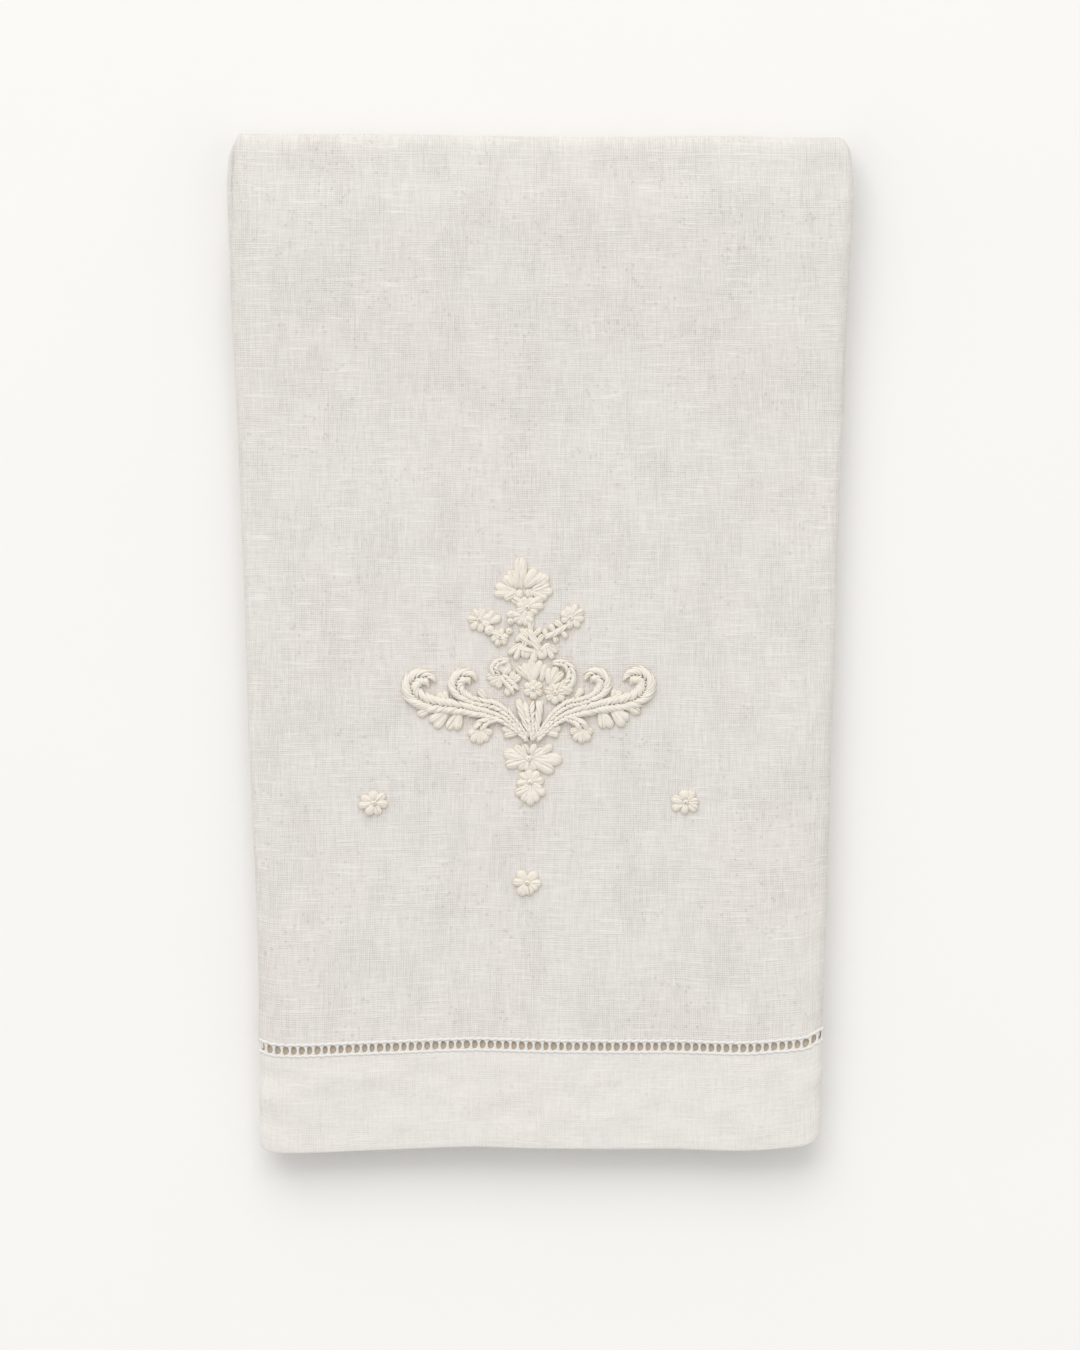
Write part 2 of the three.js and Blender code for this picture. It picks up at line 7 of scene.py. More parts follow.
import bpy
import numpy as np
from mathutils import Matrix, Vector


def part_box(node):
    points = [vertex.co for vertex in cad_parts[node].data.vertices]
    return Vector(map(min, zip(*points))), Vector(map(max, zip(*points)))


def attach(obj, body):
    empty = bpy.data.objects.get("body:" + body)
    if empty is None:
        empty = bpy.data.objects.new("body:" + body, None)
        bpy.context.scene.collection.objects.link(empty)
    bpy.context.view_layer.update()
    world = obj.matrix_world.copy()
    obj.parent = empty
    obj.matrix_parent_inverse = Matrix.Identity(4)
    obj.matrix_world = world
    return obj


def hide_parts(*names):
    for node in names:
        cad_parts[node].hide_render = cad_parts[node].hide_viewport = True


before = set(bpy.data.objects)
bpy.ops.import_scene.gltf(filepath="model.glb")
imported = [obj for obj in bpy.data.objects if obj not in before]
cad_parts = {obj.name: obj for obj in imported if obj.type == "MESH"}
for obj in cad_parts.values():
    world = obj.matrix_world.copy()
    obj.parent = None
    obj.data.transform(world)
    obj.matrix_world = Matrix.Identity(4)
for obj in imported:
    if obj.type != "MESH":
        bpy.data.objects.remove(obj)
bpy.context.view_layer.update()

MM = 0.001

# The cut cloth, before it is folded
CUT_WIDTH = 356
CUT_LENGTH = 608
CLOTH_THICK = 0.55
HEM_THICK = 1.1
HEM_DEEP = 29.5
LADDER_HIGH = 2.4
TURNING_THICK = 0.3
TURNING_DEEP = 1.15
TURNING_BEYOND = 2
# Added to the turned-in edge's flat place across, so that the material can tell it apart and paint onto
# it the shade seen through the ladder's holes
INSIDE_FLAT = 400

# The folded towel
HEM_Y = -150.7
FOLD_AXIS_Y = 144.9
FOLD_R = 6.8
FOLD_SQUARE = 0.78
TOP_PRESSED = 0.13
TOP_PRESSED_FROM = 128
FACE_Z = 11.2
SIDE_R_FRONT = 3.0
SIDE_R_BACK = 2.4
CORNER_PINCH = 0.5
CORNER_FADES = 34
FLAP_DEEP = 3.3
FLAP_EASE = 14
LAP_EXTRA = 1.3
LAP_FROM = 11.5
LAP_TO = 8.5
WAVE_HOLDS = 34
WAVE_FADES = 95
WAVE_LIFT = 0.3
WAVE_LIFT_MOST = 0.35
TOP_FADES = 40
FACE_EASE = 85
FRONT_LONG = FOLD_AXIS_Y - HEM_Y
FOLD_LONG = math.pi * FOLD_R
BACK_FROM = FRONT_LONG + FOLD_LONG

# The cloth's unevenness, as rows of height, wavelength and seed
RELIEF = ((0.17, 62, 3), (0.08, 24, 5), (0.03, 8, 7))

# How closely the sheet is divided, in steps across it and in steps or millimetres along it
PANEL_STEPS = 48
FOLD_STEPS = 12
FLAP_STEPS = 18
RIM_STEPS = 4
FRONT_STEP = 1.8
TOP_STEPS = 17
BACK_STEPS = 46
FRONT_HEM_STEP = 1.5
BACK_HEM_STEP = 5
TURNING_STEP = 1.6


def table(columns, *rows):
    """A table with named columns of numbers."""
    return np.array(list(rows), dtype=[(column, float) for column in columns.split()])


# Half widths of the folded towel at a height y
SIDES = table(
    "y front_left front_right back_left back_right",
    (-152, 83.9, 83.2, 82.9, 82.0),
    (-106, 84.5, 84.5, 83.5, 83.2),
    (-47, 86.6, 86.3, 85.5, 84.9),
    (13, 88.7, 88.1, 87.6, 86.7),
    (72, 91.1, 90.4, 89.8, 88.9),
    (101, 92.6, 91.6, 91.4, 90.0),
    (116, 92.9, 92.4, 93.4, 91.0),
    (131, 92.0, 93.0, 94.2, 91.8),
    (142, 91.9, 92.8, 94.2, 91.8),
    (147, 91.6, 92.3, 93.5, 91.4),
    (151.5, 90.6, 90.8, 91.6, 90.2),
)

# How far the front hem rises above its mean line, across the towel
HEM_WAVE = table(
    "across rise",
    (-84.0, 0.4),
    (-82.5, -0.1),
    (-80.0, -0.9),
    (-75.0, -1.2),
    (-67.0, -1.05),
    (-55.0, -0.5),
    (-42.0, 0.0),
    (-30.0, 0.55),
    (-18.0, 0.8),
    (-5.0, 0.4),
    (18.0, 0.05),
    (40.0, 0.1),
    (55.0, -0.4),
    (63.0, -0.35),
    (72.0, 0.35),
    (77.0, 0.85),
    (79.5, 1.4),
    (81.4, 2.5),
    (84.0, 3.8),
)

# How far the top fold stands above its mean line, across the towel
TOP_WAVE = table(
    "across rise",
    (-94, 1.7),
    (-84, 1.3),
    (-72, 1.2),
    (-58, 1.3),
    (-30, 1.0),
    (-6, 0.5),
    (18, 0.4),
    (58, 0.6),
    (72, 0.3),
    (94, 0.2),
)


def smooth(t):
    """A soft step from 0 to 1."""
    t = np.clip(t, 0, 1)
    return t * t * (3 - 2 * t)


def unit(v):
    """Vectors made one long."""
    return v / np.maximum(np.linalg.norm(v, axis=-1, keepdims=True), 1e-9)


def curve(x, y, at):
    """A smooth curve through points, read at the places that are asked for."""
    slope = np.empty_like(y)
    slope[1:-1] = (y[2:] - y[:-2]) / (x[2:] - x[:-2])
    slope[0] = (y[1] - y[0]) / (x[1] - x[0])
    slope[-1] = (y[-1] - y[-2]) / (x[-1] - x[-2])
    at = np.clip(at, x[0], x[-1])
    i = np.clip(np.searchsorted(x, at, side="right") - 1, 0, len(x) - 2)
    span = x[i + 1] - x[i]
    t = (at - x[i]) / span
    return (
        y[i] * (1 + 2 * t) * (1 - t) ** 2
        + slope[i] * span * t * (1 - t) ** 2
        + y[i + 1] * t * t * (3 - 2 * t)
        + slope[i + 1] * span * t * t * (t - 1)
    )


def from_table(rows, key, column, at):
    """A smooth curve through one column of a table, at places along its key column."""
    return curve(rows[key], rows[column], at)


def ripple(across, along, wavelength, seed, waves=14):
    """Soft unevenness between about -1 and 1, its bumps about a wavelength apart."""
    random = np.random.default_rng(seed)
    total = np.zeros(np.broadcast(across, along).shape)
    for _ in range(waves):
        turn, phase = random.uniform(0, 2 * math.pi, 2)
        length = wavelength * random.uniform(0.75, 1.4)
        distance = across * math.cos(turn) + along * math.sin(turn)
        total += np.sin(2 * math.pi * distance / length + phase)
    return total / math.sqrt(waves)


# The cloth's fold, as in the solid: first along it, then across it, then both in space.


def along_fold(along):
    """The height y and the turn round the top fold, for a distance along the cloth."""
    turn = np.clip((along - FRONT_LONG) / FOLD_R, 0, math.pi)
    past = np.maximum(0, along - BACK_FROM)
    y = np.where(along <= FRONT_LONG, HEM_Y + along, FOLD_AXIS_Y - past + FOLD_R * np.sin(turn))
    return y, turn


def side_at(across, along):
    """The half width and the side fold's radius, on the side that the place is on."""
    y, turn = along_fold(along)
    share = smooth(turn / math.pi)
    halves = {}
    for hand in ("left", "right"):
        front = from_table(SIDES, "y", f"front_{hand}", y)
        back = from_table(SIDES, "y", f"back_{hand}", y)
        halves[hand] = front + (back - front) * share
    half = np.where(across < 0, halves["left"], halves["right"])
    radius = SIDE_R_FRONT + (SIDE_R_BACK - SIDE_R_FRONT) * share
    from_top = np.abs(along - FRONT_LONG - FOLD_LONG / 2)
    return half, radius * (1 - CORNER_PINCH * smooth(1 - from_top / CORNER_FADES))


def across_fold(across, along):
    """The x and the depth below the face, for a place on the cloth."""
    side = np.where(across < 0, -1.0, 1.0)
    half, radius = side_at(across, along)
    flat = half - radius
    beyond = np.abs(across) - flat
    bend = np.clip(beyond / radius, 0, math.pi)
    inward = np.maximum(0, beyond - math.pi * radius)
    x = np.minimum(np.abs(across), flat) + radius * np.sin(bend) - inward
    lapped = np.where(side > 0, LAP_EXTRA * smooth((LAP_FROM - x) / (LAP_FROM - LAP_TO)), 0)
    lapped = np.where(inward > 0, lapped, 0)
    deep = radius * (1 - np.cos(bend)) + (FLAP_DEEP - 2 * radius) * smooth(inward / FLAP_EASE)
    return side * x, deep + lapped


def folded(across, along):
    """Places in space of the cloth's right side, before its small unevenness."""
    x, deep = across_fold(across, along)
    wave = from_table(HEM_WAVE, "across", "rise", x)
    wave_share = 1 - smooth((along - WAVE_HOLDS) / WAVE_FADES)
    top_rise = from_table(TOP_WAVE, "across", "rise", x)
    drop = (2 * FOLD_R - FACE_Z) * smooth((FRONT_LONG - along) / FACE_EASE)
    lift = np.clip(wave * WAVE_LIFT, -WAVE_LIFT_MOST, WAVE_LIFT_MOST) * wave_share**3
    front_y = HEM_Y + along + wave * wave_share
    front_y = front_y + top_rise * smooth(1 - (FRONT_LONG - along) / TOP_FADES)
    front_z = 2 * FOLD_R - drop - deep + lift
    turn = np.clip((along - FRONT_LONG) / FOLD_R, 0, math.pi)
    past = np.maximum(0, along - BACK_FROM)
    reach = FOLD_R - deep
    bend_y = np.sin(turn) ** FOLD_SQUARE
    bend_z = np.sign(np.cos(turn)) * np.abs(np.cos(turn)) ** FOLD_SQUARE
    back_y = FOLD_AXIS_Y - past + reach * bend_y + top_rise * smooth(1 - past / TOP_FADES)
    back_z = FOLD_R + reach * bend_z
    front = along <= FRONT_LONG
    y, z = np.where(front, front_y, back_y), np.where(front, front_z, back_z)
    return np.stack([x, y, z * (1 - TOP_PRESSED * smooth((y - TOP_PRESSED_FROM) / 20))], -1)


def unevenness(across, along):
    """How far the cloth stands out of its smooth folded shape."""
    relief = sum(high * ripple(across, along, length, seed) for high, length, seed in RELIEF)
    hem = 0.2 * ripple(0.8 * across, along, 12, seed=11) + 0.06 * ripple(across, along, 6, seed=13)
    hem = hem * smooth((HEM_DEEP - along) / 5) * smooth(along / 5)
    front = 1 - smooth((along - FRONT_LONG + 12) / 14)
    facing = 1 - 0.7 * smooth((np.abs(across) - 86) / 10)
    return (relief + hem) * front * facing


def surface(across, along, out=0.0):
    """Places on the cloth's right side, or out above it, and the way that it faces there."""
    across, along = np.broadcast_arrays(np.asarray(across, float), np.asarray(along, float))
    step = 0.05
    acrossward = folded(across + step, along) - folded(across - step, along)
    alongward = folded(across, along + step) - folded(across, along - step)
    facing = unit(np.cross(acrossward, alongward))
    stands = unevenness(across, along) + out
    return folded(across, along) + facing * stands[..., None], facing


# Meshes


def make_mesh(name, parts, material):
    """One object from parts, each of them points, four-sided faces and a flat place per point."""
    points, faces, flats, count = [], [], [], 0
    for part_points, part_faces, part_flats in parts:
        points.append(part_points)
        faces.append(part_faces + count)
        flats.append(part_flats)
        count += len(part_points)
    points = (np.vstack(points) + towel_shift) * MM
    points[:, 2] = np.maximum(points[:, 2], 0)
    mesh = bpy.data.meshes.new(name)
    mesh.from_pydata(points.tolist(), [], np.vstack(faces).tolist())
    corners = np.empty(len(mesh.loops), dtype=np.int32)
    mesh.loops.foreach_get("vertex_index", corners)
    layer = mesh.uv_layers.new(name="flat")
    layer.data.foreach_set("uv", (np.vstack(flats) * MM)[corners].ravel())
    mesh.shade_smooth()
    mesh.materials.append(material)
    made = bpy.data.objects.new(name, mesh)
    bpy.context.scene.collection.objects.link(made)
    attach(made, "root")
    return made


def grid_faces(rows, columns):
    """The four-sided faces between points that stand in rows and columns."""
    first = (np.arange(rows - 1)[:, None] * columns + np.arange(columns - 1)).ravel()
    return np.stack([first, first + 1, first + 1 + columns, first + columns], -1)


def shell(across, along, thick, out=0.0, flat_shift=0):
    """A closed sheet of cloth: its right side, its wrong side, and rounded edges that join them."""
    rows, columns = across.shape
    right, facing = surface(across, along, out)
    rim = thick / 2
    from_edge = np.minimum(along - along.min(), along.max() - along)
    from_edge = np.minimum(from_edge, CUT_WIDTH / 2 - np.abs(across))
    half = rim * np.sqrt(np.clip(1 - (1 - np.clip(from_edge / rim, 0, 1)) ** 2, 0, 1))
    middle = right - facing * rim
    outer = middle + facing * half[..., None]
    inner = middle - facing * half[..., None]
    flat = np.stack([across + flat_shift, along], -1)
    number = np.arange(rows * columns).reshape(rows, columns)
    wrong = number.copy()
    wrong[1:-1, 1:-1] = rows * columns + np.arange((rows - 2) * (columns - 2)).reshape(rows - 2, -1)
    faces = grid_faces(rows, columns)
    points = np.vstack([outer.reshape(-1, 3), inner[1:-1, 1:-1].reshape(-1, 3)])
    flats = np.vstack([flat.reshape(-1, 2), flat[1:-1, 1:-1].reshape(-1, 2)])
    return points, np.vstack([faces, wrong.ravel()[faces][:, ::-1]]), flats


def loft(rings, lengths, around=None):
    """Closed bodies through rings of points, shaped (bodies, rings, points, 3)."""
    bodies, steps, sides, _ = rings.shape
    i = np.arange(steps - 1)[:, None]
    j = np.arange(sides)
    here, there = i * sides + j, i * sides + (j + 1) % sides
    walls = np.stack([here, here + sides, there + sides, there], -1).reshape(-1, 4)
    k = np.arange(sides // 2 - 1)
    start = np.stack([k, k + 1, sides - 2 - k, sides - 1 - k], -1)
    end = (steps - 1) * sides + start[:, ::-1]
    one = np.vstack([walls, start, end])
    faces = (one + (np.arange(bodies) * steps * sides)[:, None, None]).reshape(-1, 4)
    if around is None:
        # the second flat number runs once round each ring from its underside, where the thread material
        # paints shade
        around = np.broadcast_to(j / sides, (bodies, steps, sides))
    flats = np.stack([np.broadcast_to(lengths[..., None], around.shape), around], -1)
    return rings.reshape(-1, 3), faces, flats.reshape(-1, 2)


def threads(paths, radii, sides=6):
    """Threads along paths, shaped (threads, steps, 3), each with a radius at every step."""
    ahead = unit(np.gradient(paths, axis=1))
    side = unit(np.cross(ahead, [0.0, 0.0, 1.0]) + np.array([1e-6, 0, 0]))
    up = np.cross(side, ahead)
    angle = (2 * math.pi * np.arange(sides) / sides - math.pi / 2)[:, None]
    spokes = np.cos(angle) * side[:, :, None] + np.sin(angle) * up[:, :, None]
    rings = paths[:, :, None] + np.broadcast_to(radii, paths.shape[:2])[..., None, None] * spokes
    steps = np.linalg.norm(np.diff(paths, axis=1), axis=-1)
    lengths = np.concatenate([np.zeros((len(paths), 1)), np.cumsum(steps, axis=1)], axis=1)
    return loft(rings, lengths)


# The cloth


def across_lines(along):
    """Places across the cloth: flap, side fold, panel, side fold, flap."""
    lines = {}
    for side in (-1, 1):
        half, radius = side_at(np.full_like(along, side), along)
        flat = (half - radius)[:, None]
        flap_from = flat + (math.pi * radius)[:, None]
        panel = flat * np.linspace(0, 1, PANEL_STEPS, endpoint=False)
        fold = flat + (flap_from - flat) * np.linspace(0, 1, FOLD_STEPS, endpoint=False)
        share = np.append(np.linspace(0, 1, FLAP_STEPS)[:-1] ** 1.4, [0.996, 0.9985, 1])
        flap = flap_from + (CUT_WIDTH / 2 - flap_from) * share
        lines[side] = np.concatenate([panel, fold, flap], axis=1)
    return np.concatenate([-lines[-1][:, :0:-1], lines[1]], axis=1)


def rounded_end(thick):
    """Distances in from an edge of the cloth, closer together where it is round."""
    return thick / 2 * (1 - np.cos(np.linspace(0, math.pi / 2, RIM_STEPS)))


def strip(first, last, step, thick):
    """Distances along a strip of cloth, closer together at its two rounded ends."""
    rim = rounded_end(thick)
    body = np.linspace(first + thick / 2, last - thick / 2, max(3, round((last - first) / step)))
    return np.concatenate([first + rim[:-1], body, last - rim[:-1][::-1]])


def make_linen(material):
    """The cloth between its ladders, and its two deep hems."""
    parts = []
    body_from, body_to = HEM_DEEP + LADDER_HIGH, CUT_LENGTH - HEM_DEEP - LADDER_HIGH
    front = np.arange(body_from + 1, FRONT_LONG, FRONT_STEP)
    top = FRONT_LONG + FOLD_LONG * np.linspace(0, 1, TOP_STEPS)
    back = np.linspace(BACK_FROM, body_to - 1, BACK_STEPS)[1:]
    rim = rounded_end(CLOTH_THICK)
    body = np.concatenate([body_from + rim, front, top, back, body_to - rim[::-1]])
    hem_front = strip(0, HEM_DEEP, FRONT_HEM_STEP, HEM_THICK)
    hem_back = strip(CUT_LENGTH - HEM_DEEP, CUT_LENGTH, BACK_HEM_STEP, HEM_THICK)
    for along, thick in ((body, CLOTH_THICK), (hem_front, HEM_THICK), (hem_back, HEM_THICK)):
        across = across_lines(along)
        parts.append(shell(across, np.broadcast_to(along[:, None], across.shape), thick))
    # The hem's turned-in edge stands up behind each ladder.
    for ladder_from in (HEM_DEEP, CUT_LENGTH - HEM_DEEP - LADDER_HIGH):
        first = ladder_from - TURNING_BEYOND
        last = first + LADDER_HIGH + 2 * TURNING_BEYOND
        along = strip(first, last, TURNING_STEP, TURNING_THICK)
        across = across_lines(along)
        along = np.broadcast_to(along[:, None], across.shape)
        parts.append(shell(across, along, TURNING_THICK, -TURNING_DEEP, INSIDE_FLAT))
    return make_mesh("linen", parts, material)


# The ladder rows: threads drawn out above each hem and the rest whipped into bundles

LADDER_PITCH = 2.35
LADDER_STRAND_R = 0.19
LADDER_TUCK = 0.35
WHIP_R = 0.46
CORD_IN = 0.46
CORD_LEAN = 0.2
CORD_REACH = 1.5


def make_ladder(name, hem_edge, cloth_edge, material, seed):
    """One row of bundles across the cloth, with a cord of stitches along both of its edges."""
    random = np.random.default_rng(seed)
    count = int((CUT_WIDTH - 4) / LADDER_PITCH)
    middle = (np.arange(count) - (count - 1) / 2) * LADDER_PITCH
    middle = (middle + random.uniform(-0.12, 0.12, count))[:, None]
    parts = []
    t = np.linspace(0, 1, 9)
    way = 1 if cloth_edge > hem_edge else -1
    reach = abs(cloth_edge - hem_edge)
    bow = random.uniform(0.05, 0.3, count)[:, None] * np.sin(math.pi * t)
    for strand in (-2, -1, 0, 1, 2):
        fan = strand * (0.09 + 0.42 * np.abs(2 * t - 1) ** 2.6)
        along = hem_edge + way * (-LADDER_TUCK + (reach + 2 * LADDER_TUCK) * t)
        out = -0.02 - 0.03 * strand**2 - 0.1 * np.abs(2 * t - 1) ** 6
        path, _ = surface(middle + fan + bow, along + 0 * middle, out)
        parts.append(threads(path, LADDER_STRAND_R))
    for edge, inward in ((hem_edge, -way), (cloth_edge, way)):
        shake = random.uniform(-0.06, 0.06, count)[:, None]
        along = edge + inward * (CORD_IN + CORD_LEAN * (2 * t - 1)) + shake
        across = middle + CORD_REACH * (2 * t - 1)
        out = 0.16 * np.sin(math.pi * t) - 0.2
        path, _ = surface(across, along, out)
        parts.append(threads(path, WHIP_R * (0.55 + 0.45 * np.sin(math.pi * t) ** 0.6), 8))
        bite = edge + inward * (0.5 + random.uniform(0.5, 0.8, count)[:, None] * t)
        path, _ = surface(middle + 0.3 + 0.3 * t, bite, 0.08 - 0.34 * t)
        parts.append(threads(path, WHIP_R * 0.75 * (1 - 0.45 * t), 8))
    return make_mesh(name, parts, material)


# The embroidery: padded petals, leaves, stems and scrolls, from the spray's own origin.
# A band's path is rows of [x, y, half width].

SPRAY_AT = (-3.6, -29.6)
PAD_HIGH = 1.7
KNOT_HIGH = 1.8
THREAD_WIDE = 0.66
THREAD_R = 0.42
STRAND_STEP = 1.0
STRAND_SLANT = 1.9
STRAND_R = 0.56
STRAND_SINKS = 0.24
STEM_TURN = 11
FEATHER_FROM = 1.3
GROOVE_DEEP = 0.24
CREASE_DEEP = 0.22
PETAL_SINKS = 0.15
# A petal's half widths along its length, both as shares
PETAL_SHAPE = ((0, 0.26), (0.35, 0.48), (0.7, 0.57), (0.9, 0.5), (1.03, 0.34))


def band(path):
    """A stem, leaf or scroll along a path."""
    return {"kind": "across", "path": np.array(path), "high": PAD_HIGH}


def petal(x, y, turn, long, wide):
    """A petal from its narrow end, pointing to turn degrees from the right."""
    angle = math.radians(turn)
    path = [
        [x + math.cos(angle) * long * share, y + math.sin(angle) * long * share, wide * width]
        for share, width in PETAL_SHAPE
    ]
    return {"kind": "along", "path": np.array(path), "high": PAD_HIGH}


def knot(x, y, radius):
    """A round mound of thread."""
    return {"kind": "knot", "path": np.array([[x, y, radius]]), "high": KNOT_HIGH}


def spread(x, y, petals):
    """Petals that spread from one place, each with its own turn, length and width."""
    return [petal(x, y, *one) for one in petals]


def rosette(x, y, count, long, wide, start):
    """A ring of equal petals round a knot."""
    ring = [petal(x, y, start + 360 * i / count, long, wide) for i in range(count)]
    return [knot(x, y, wide * 0.4), *ring]


def floret(x, y, petals):
    """A small flower of uneven petals round a knot."""
    return [knot(x, y, 0.9), *spread(x, y, petals)]


def other_side(pieces, axis, reach, climb):
    """The same pieces on the other side of the line x = axis, drawn in and a little higher."""
    turned = []
    for piece in pieces:
        x, y, half = piece["path"].T
        path = np.stack([axis + reach * (axis - x), y + climb * (axis - x), half], -1)
        turned.append({**piece, "path": path})
    return turned


STEMS = [
    band([
        [1.0, 1.0, 0.5],
        [0.7, 4.5, 0.9],
        [0.2, 8.5, 1.4],
        [-0.2, 12.6, 1.7],
    ]),
    band([
        [1.9, 1.2, 0.5],
        [2.3, 5.0, 0.9],
        [2.8, 9.0, 1.1],
        [3.2, 12.8, 1.1],
    ]),
    band([
        [0.4, 2.0, 0.4],
        [-1.2, 6.0, 0.8],
        [-2.5, 10.4, 1.1],
        [-3.4, 13.4, 0.7],
    ]),
]

SCROLL = [
    band([
        [-0.4, 1.9, 0.4],
        [-3.4, 5.8, 0.8],
        [-6.8, 9.4, 1.1],
        [-10.5, 11.6, 1.3],
        [-14.6, 12.4, 1.3],
        [-18.4, 13.6, 1.4],
        [-21.2, 15.8, 2.1],
        [-21.7, 18.4, 2.2],
        [-20.0, 20.2, 2.1],
        [-17.6, 19.9, 1.9],
        [-16.7, 18.2, 1.3],
    ]),
    band([
        [-0.6, 0.9, 0.4],
        [-4.0, 4.4, 0.8],
        [-8.0, 7.3, 1.2],
        [-12.0, 8.9, 1.5],
        [-17.0, 10.0, 1.8],
        [-22.0, 11.0, 2.0],
        [-27.0, 11.6, 2.4],
        [-31.4, 12.6, 2.6],
        [-34.5, 14.8, 2.8],
        [-35.2, 17.7, 2.7],
        [-33.2, 19.8, 2.5],
        [-30.2, 19.5, 2.1],
        [-28.9, 17.8, 1.4],
    ]),
    *spread(-24.0, 10.6, [
        [-146, 7.0, 2.8],
        [-124, 7.2, 3.0],
    ]),
    *spread(-20.6, 10.0, [
        [-124, 6.8, 2.8],
        [-100, 6.0, 2.8],
    ]),
    petal(-28.6, 11.2, -150, 5.4, 2.6),
    petal(-10.6, 10.0, 176, 7.0, 2.2),
    band([
        [-8.8, 7.6, 0.6],
        [-11.8, 7.0, 1.1],
        [-14.4, 5.6, 1.7],
        [-15.4, 3.4, 1.8],
    ]),
    *spread(-15.0, 4.6, [
        [-150, 3.8, 2.2],
        [-117, 4.6, 2.4],
        [-86, 4.8, 2.4],
        [-55, 4.6, 2.4],
        [-20, 4.4, 2.2],
    ]),
    *spread(-3.0, 3.4, [
        [166, 5.4, 2.2],
        [-168, 4.6, 2.0],
    ]),
    *spread(-24.4, 12.6, [
        [142, 4.0, 2.2],
        [104, 3.4, 2.0],
    ]),
    *spread(-12.6, 13.0, [
        [128, 4.2, 2.2],
    ]),
]

BOUQUET_LEFT = [
    band([
        [-6.0, 24.8, 0.6],
        [-8.8, 24.6, 1.1],
        [-10.6, 22.6, 1.3],
        [-9.6, 20.4, 1.2],
    ]),
    band([
        [-8.2, 20.4, 1.1],
        [-5.8, 18.0, 1.4],
        [-3.8, 15.6, 1.4],
    ]),
    *spread(-8.0, 20.2, [
        [184, 4.8, 2.4],
        [214, 4.4, 2.4],
        [248, 4.0, 2.2],
        [48, 3.6, 2.2],
    ]),
    *spread(-5.4, 18.0, [
        [-112, 4.0, 2.2],
        [42, 3.8, 2.2],
        [80, 3.8, 2.2],
    ]),
    *spread(-5.6, 20.8, [
        [146, 5.8, 2.6],
        [112, 5.0, 2.4],
    ]),
]

BOUQUET_MIDDLE = [
    *rosette(1.2, 16.4, 6, 3.2, 2.3, 30),
    *spread(0.8, 18.2, [
        [112, 6.4, 2.4],
        [90, 7.4, 2.4],
        [68, 7.2, 2.4],
    ]),
    petal(3.4, 18.4, 74, 5.6, 2.2),
    petal(0.2, 19.2, 136, 5.6, 2.4),
]

BOUQUET_RIGHT = [
    *rosette(7.8, 15.2, 7, 3.5, 2.4, 10),
    band([
        [7.0, 24.2, 0.6],
        [10.4, 24.0, 1.1],
        [12.4, 21.8, 1.4],
        [12.2, 18.8, 1.5],
        [10.4, 16.4, 1.3],
    ]),
    *spread(5.8, 17.4, [
        [92, 5.4, 2.2],
        [66, 6.4, 2.3],
        [42, 6.0, 2.3],
    ]),
    *spread(8.8, 17.4, [
        [16, 5.4, 3.2],
        [-26, 4.6, 3.0],
    ]),
]

LEAFY_STEM = [
    band([
        [2.9, 26.8, 0.5],
        [2.2, 28.8, 0.8],
        [0.9, 31.4, 0.9],
        [0.0, 34.4, 0.8],
    ]),
    *spread(2.6, 27.2, [
        [166, 6.2, 1.8],
        [36, 4.6, 1.8],
    ]),
    *spread(1.8, 29.0, [
        [148, 6.0, 1.8],
        [58, 4.4, 1.8],
    ]),
    *spread(0.6, 31.6, [
        [142, 4.4, 1.8],
        [44, 4.2, 1.8],
    ]),
    *spread(-2.2, 30.2, [
        [-140, 5.4, 1.9],
        [-112, 5.6, 1.9],
        [-84, 4.6, 1.7],
    ]),
    *spread(4.6, 30.0, [
        [-34, 4.8, 1.9],
        [-62, 5.4, 1.9],
        [-90, 4.4, 1.7],
    ]),
    *spread(-0.2, 34.6, [
        [-62, 7.6, 1.9],
        [-104, 6.4, 1.8],
        [-134, 5.6, 1.9],
    ]),
    *spread(1.6, 28.6, [
        [-96, 4.6, 2.2],
        [-140, 4.4, 2.0],
        [-50, 4.2, 2.0],
    ]),
    petal(0.2, 33.0, 86, 4.2, 2.0),
]

SPRIG_LEFT = [
    *rosette(-14.8, 36.9, 7, 3.7, 2.3, 20),
    knot(-11.9, 33.9, 1.6),
    *rosette(-8.8, 31.8, 6, 2.9, 2.0, 12),
    knot(-6.0, 33.6, 1.1),
    band([
        [-12.6, 34.8, 0.7],
        [-9.6, 32.4, 0.8],
        [-6.6, 30.6, 0.7],
    ]),
    *spread(-12.4, 36.0, [
        [64, 4.2, 2.4],
        [24, 4.4, 2.4],
    ]),
]

SPRIG_RIGHT = [
    *spread(12.3, 37.6, [
        [150, 3.5, 2.2],
        [106, 3.5, 2.2],
        [66, 4.4, 2.2],
        [30, 4.5, 2.2],
        [-6, 4.1, 2.2],
        [-46, 3.9, 2.2],
        [-98, 3.4, 2.2],
        [-160, 3.0, 2.2],
    ]),
    knot(12.4, 37.5, 1.0),
    band([
        [11.4, 35.4, 0.6],
        [8.0, 33.2, 0.9],
        [4.4, 31.6, 0.6],
    ]),
    petal(10.4, 34.8, 150, 3.4, 2.0),
    petal(9.6, 34.0, -58, 3.0, 1.9),
    petal(7.8, 33.0, 122, 3.2, 1.9),
    petal(7.2, 32.6, -66, 2.8, 1.8),
    petal(5.4, 31.8, 112, 2.8, 1.8),
]

ROSETTE = [
    *rosette(-0.5, 40.6, 8, 3.6, 2.2, 22),
    knot(-5.4, 38.6, 1.3),
    knot(-5.6, 36.6, 1.1),
    *spread(-1.6, 38.4, [
        [176, 4.0, 2.0],
        [-152, 3.8, 2.0],
        [-118, 3.4, 2.0],
        [-76, 3.4, 2.0],
        [-36, 3.6, 2.0],
    ]),
    *spread(-0.6, 41.0, [
        [150, 5.6, 2.6],
        [30, 5.6, 2.6],
        [2, 5.0, 2.4],
    ]),
]

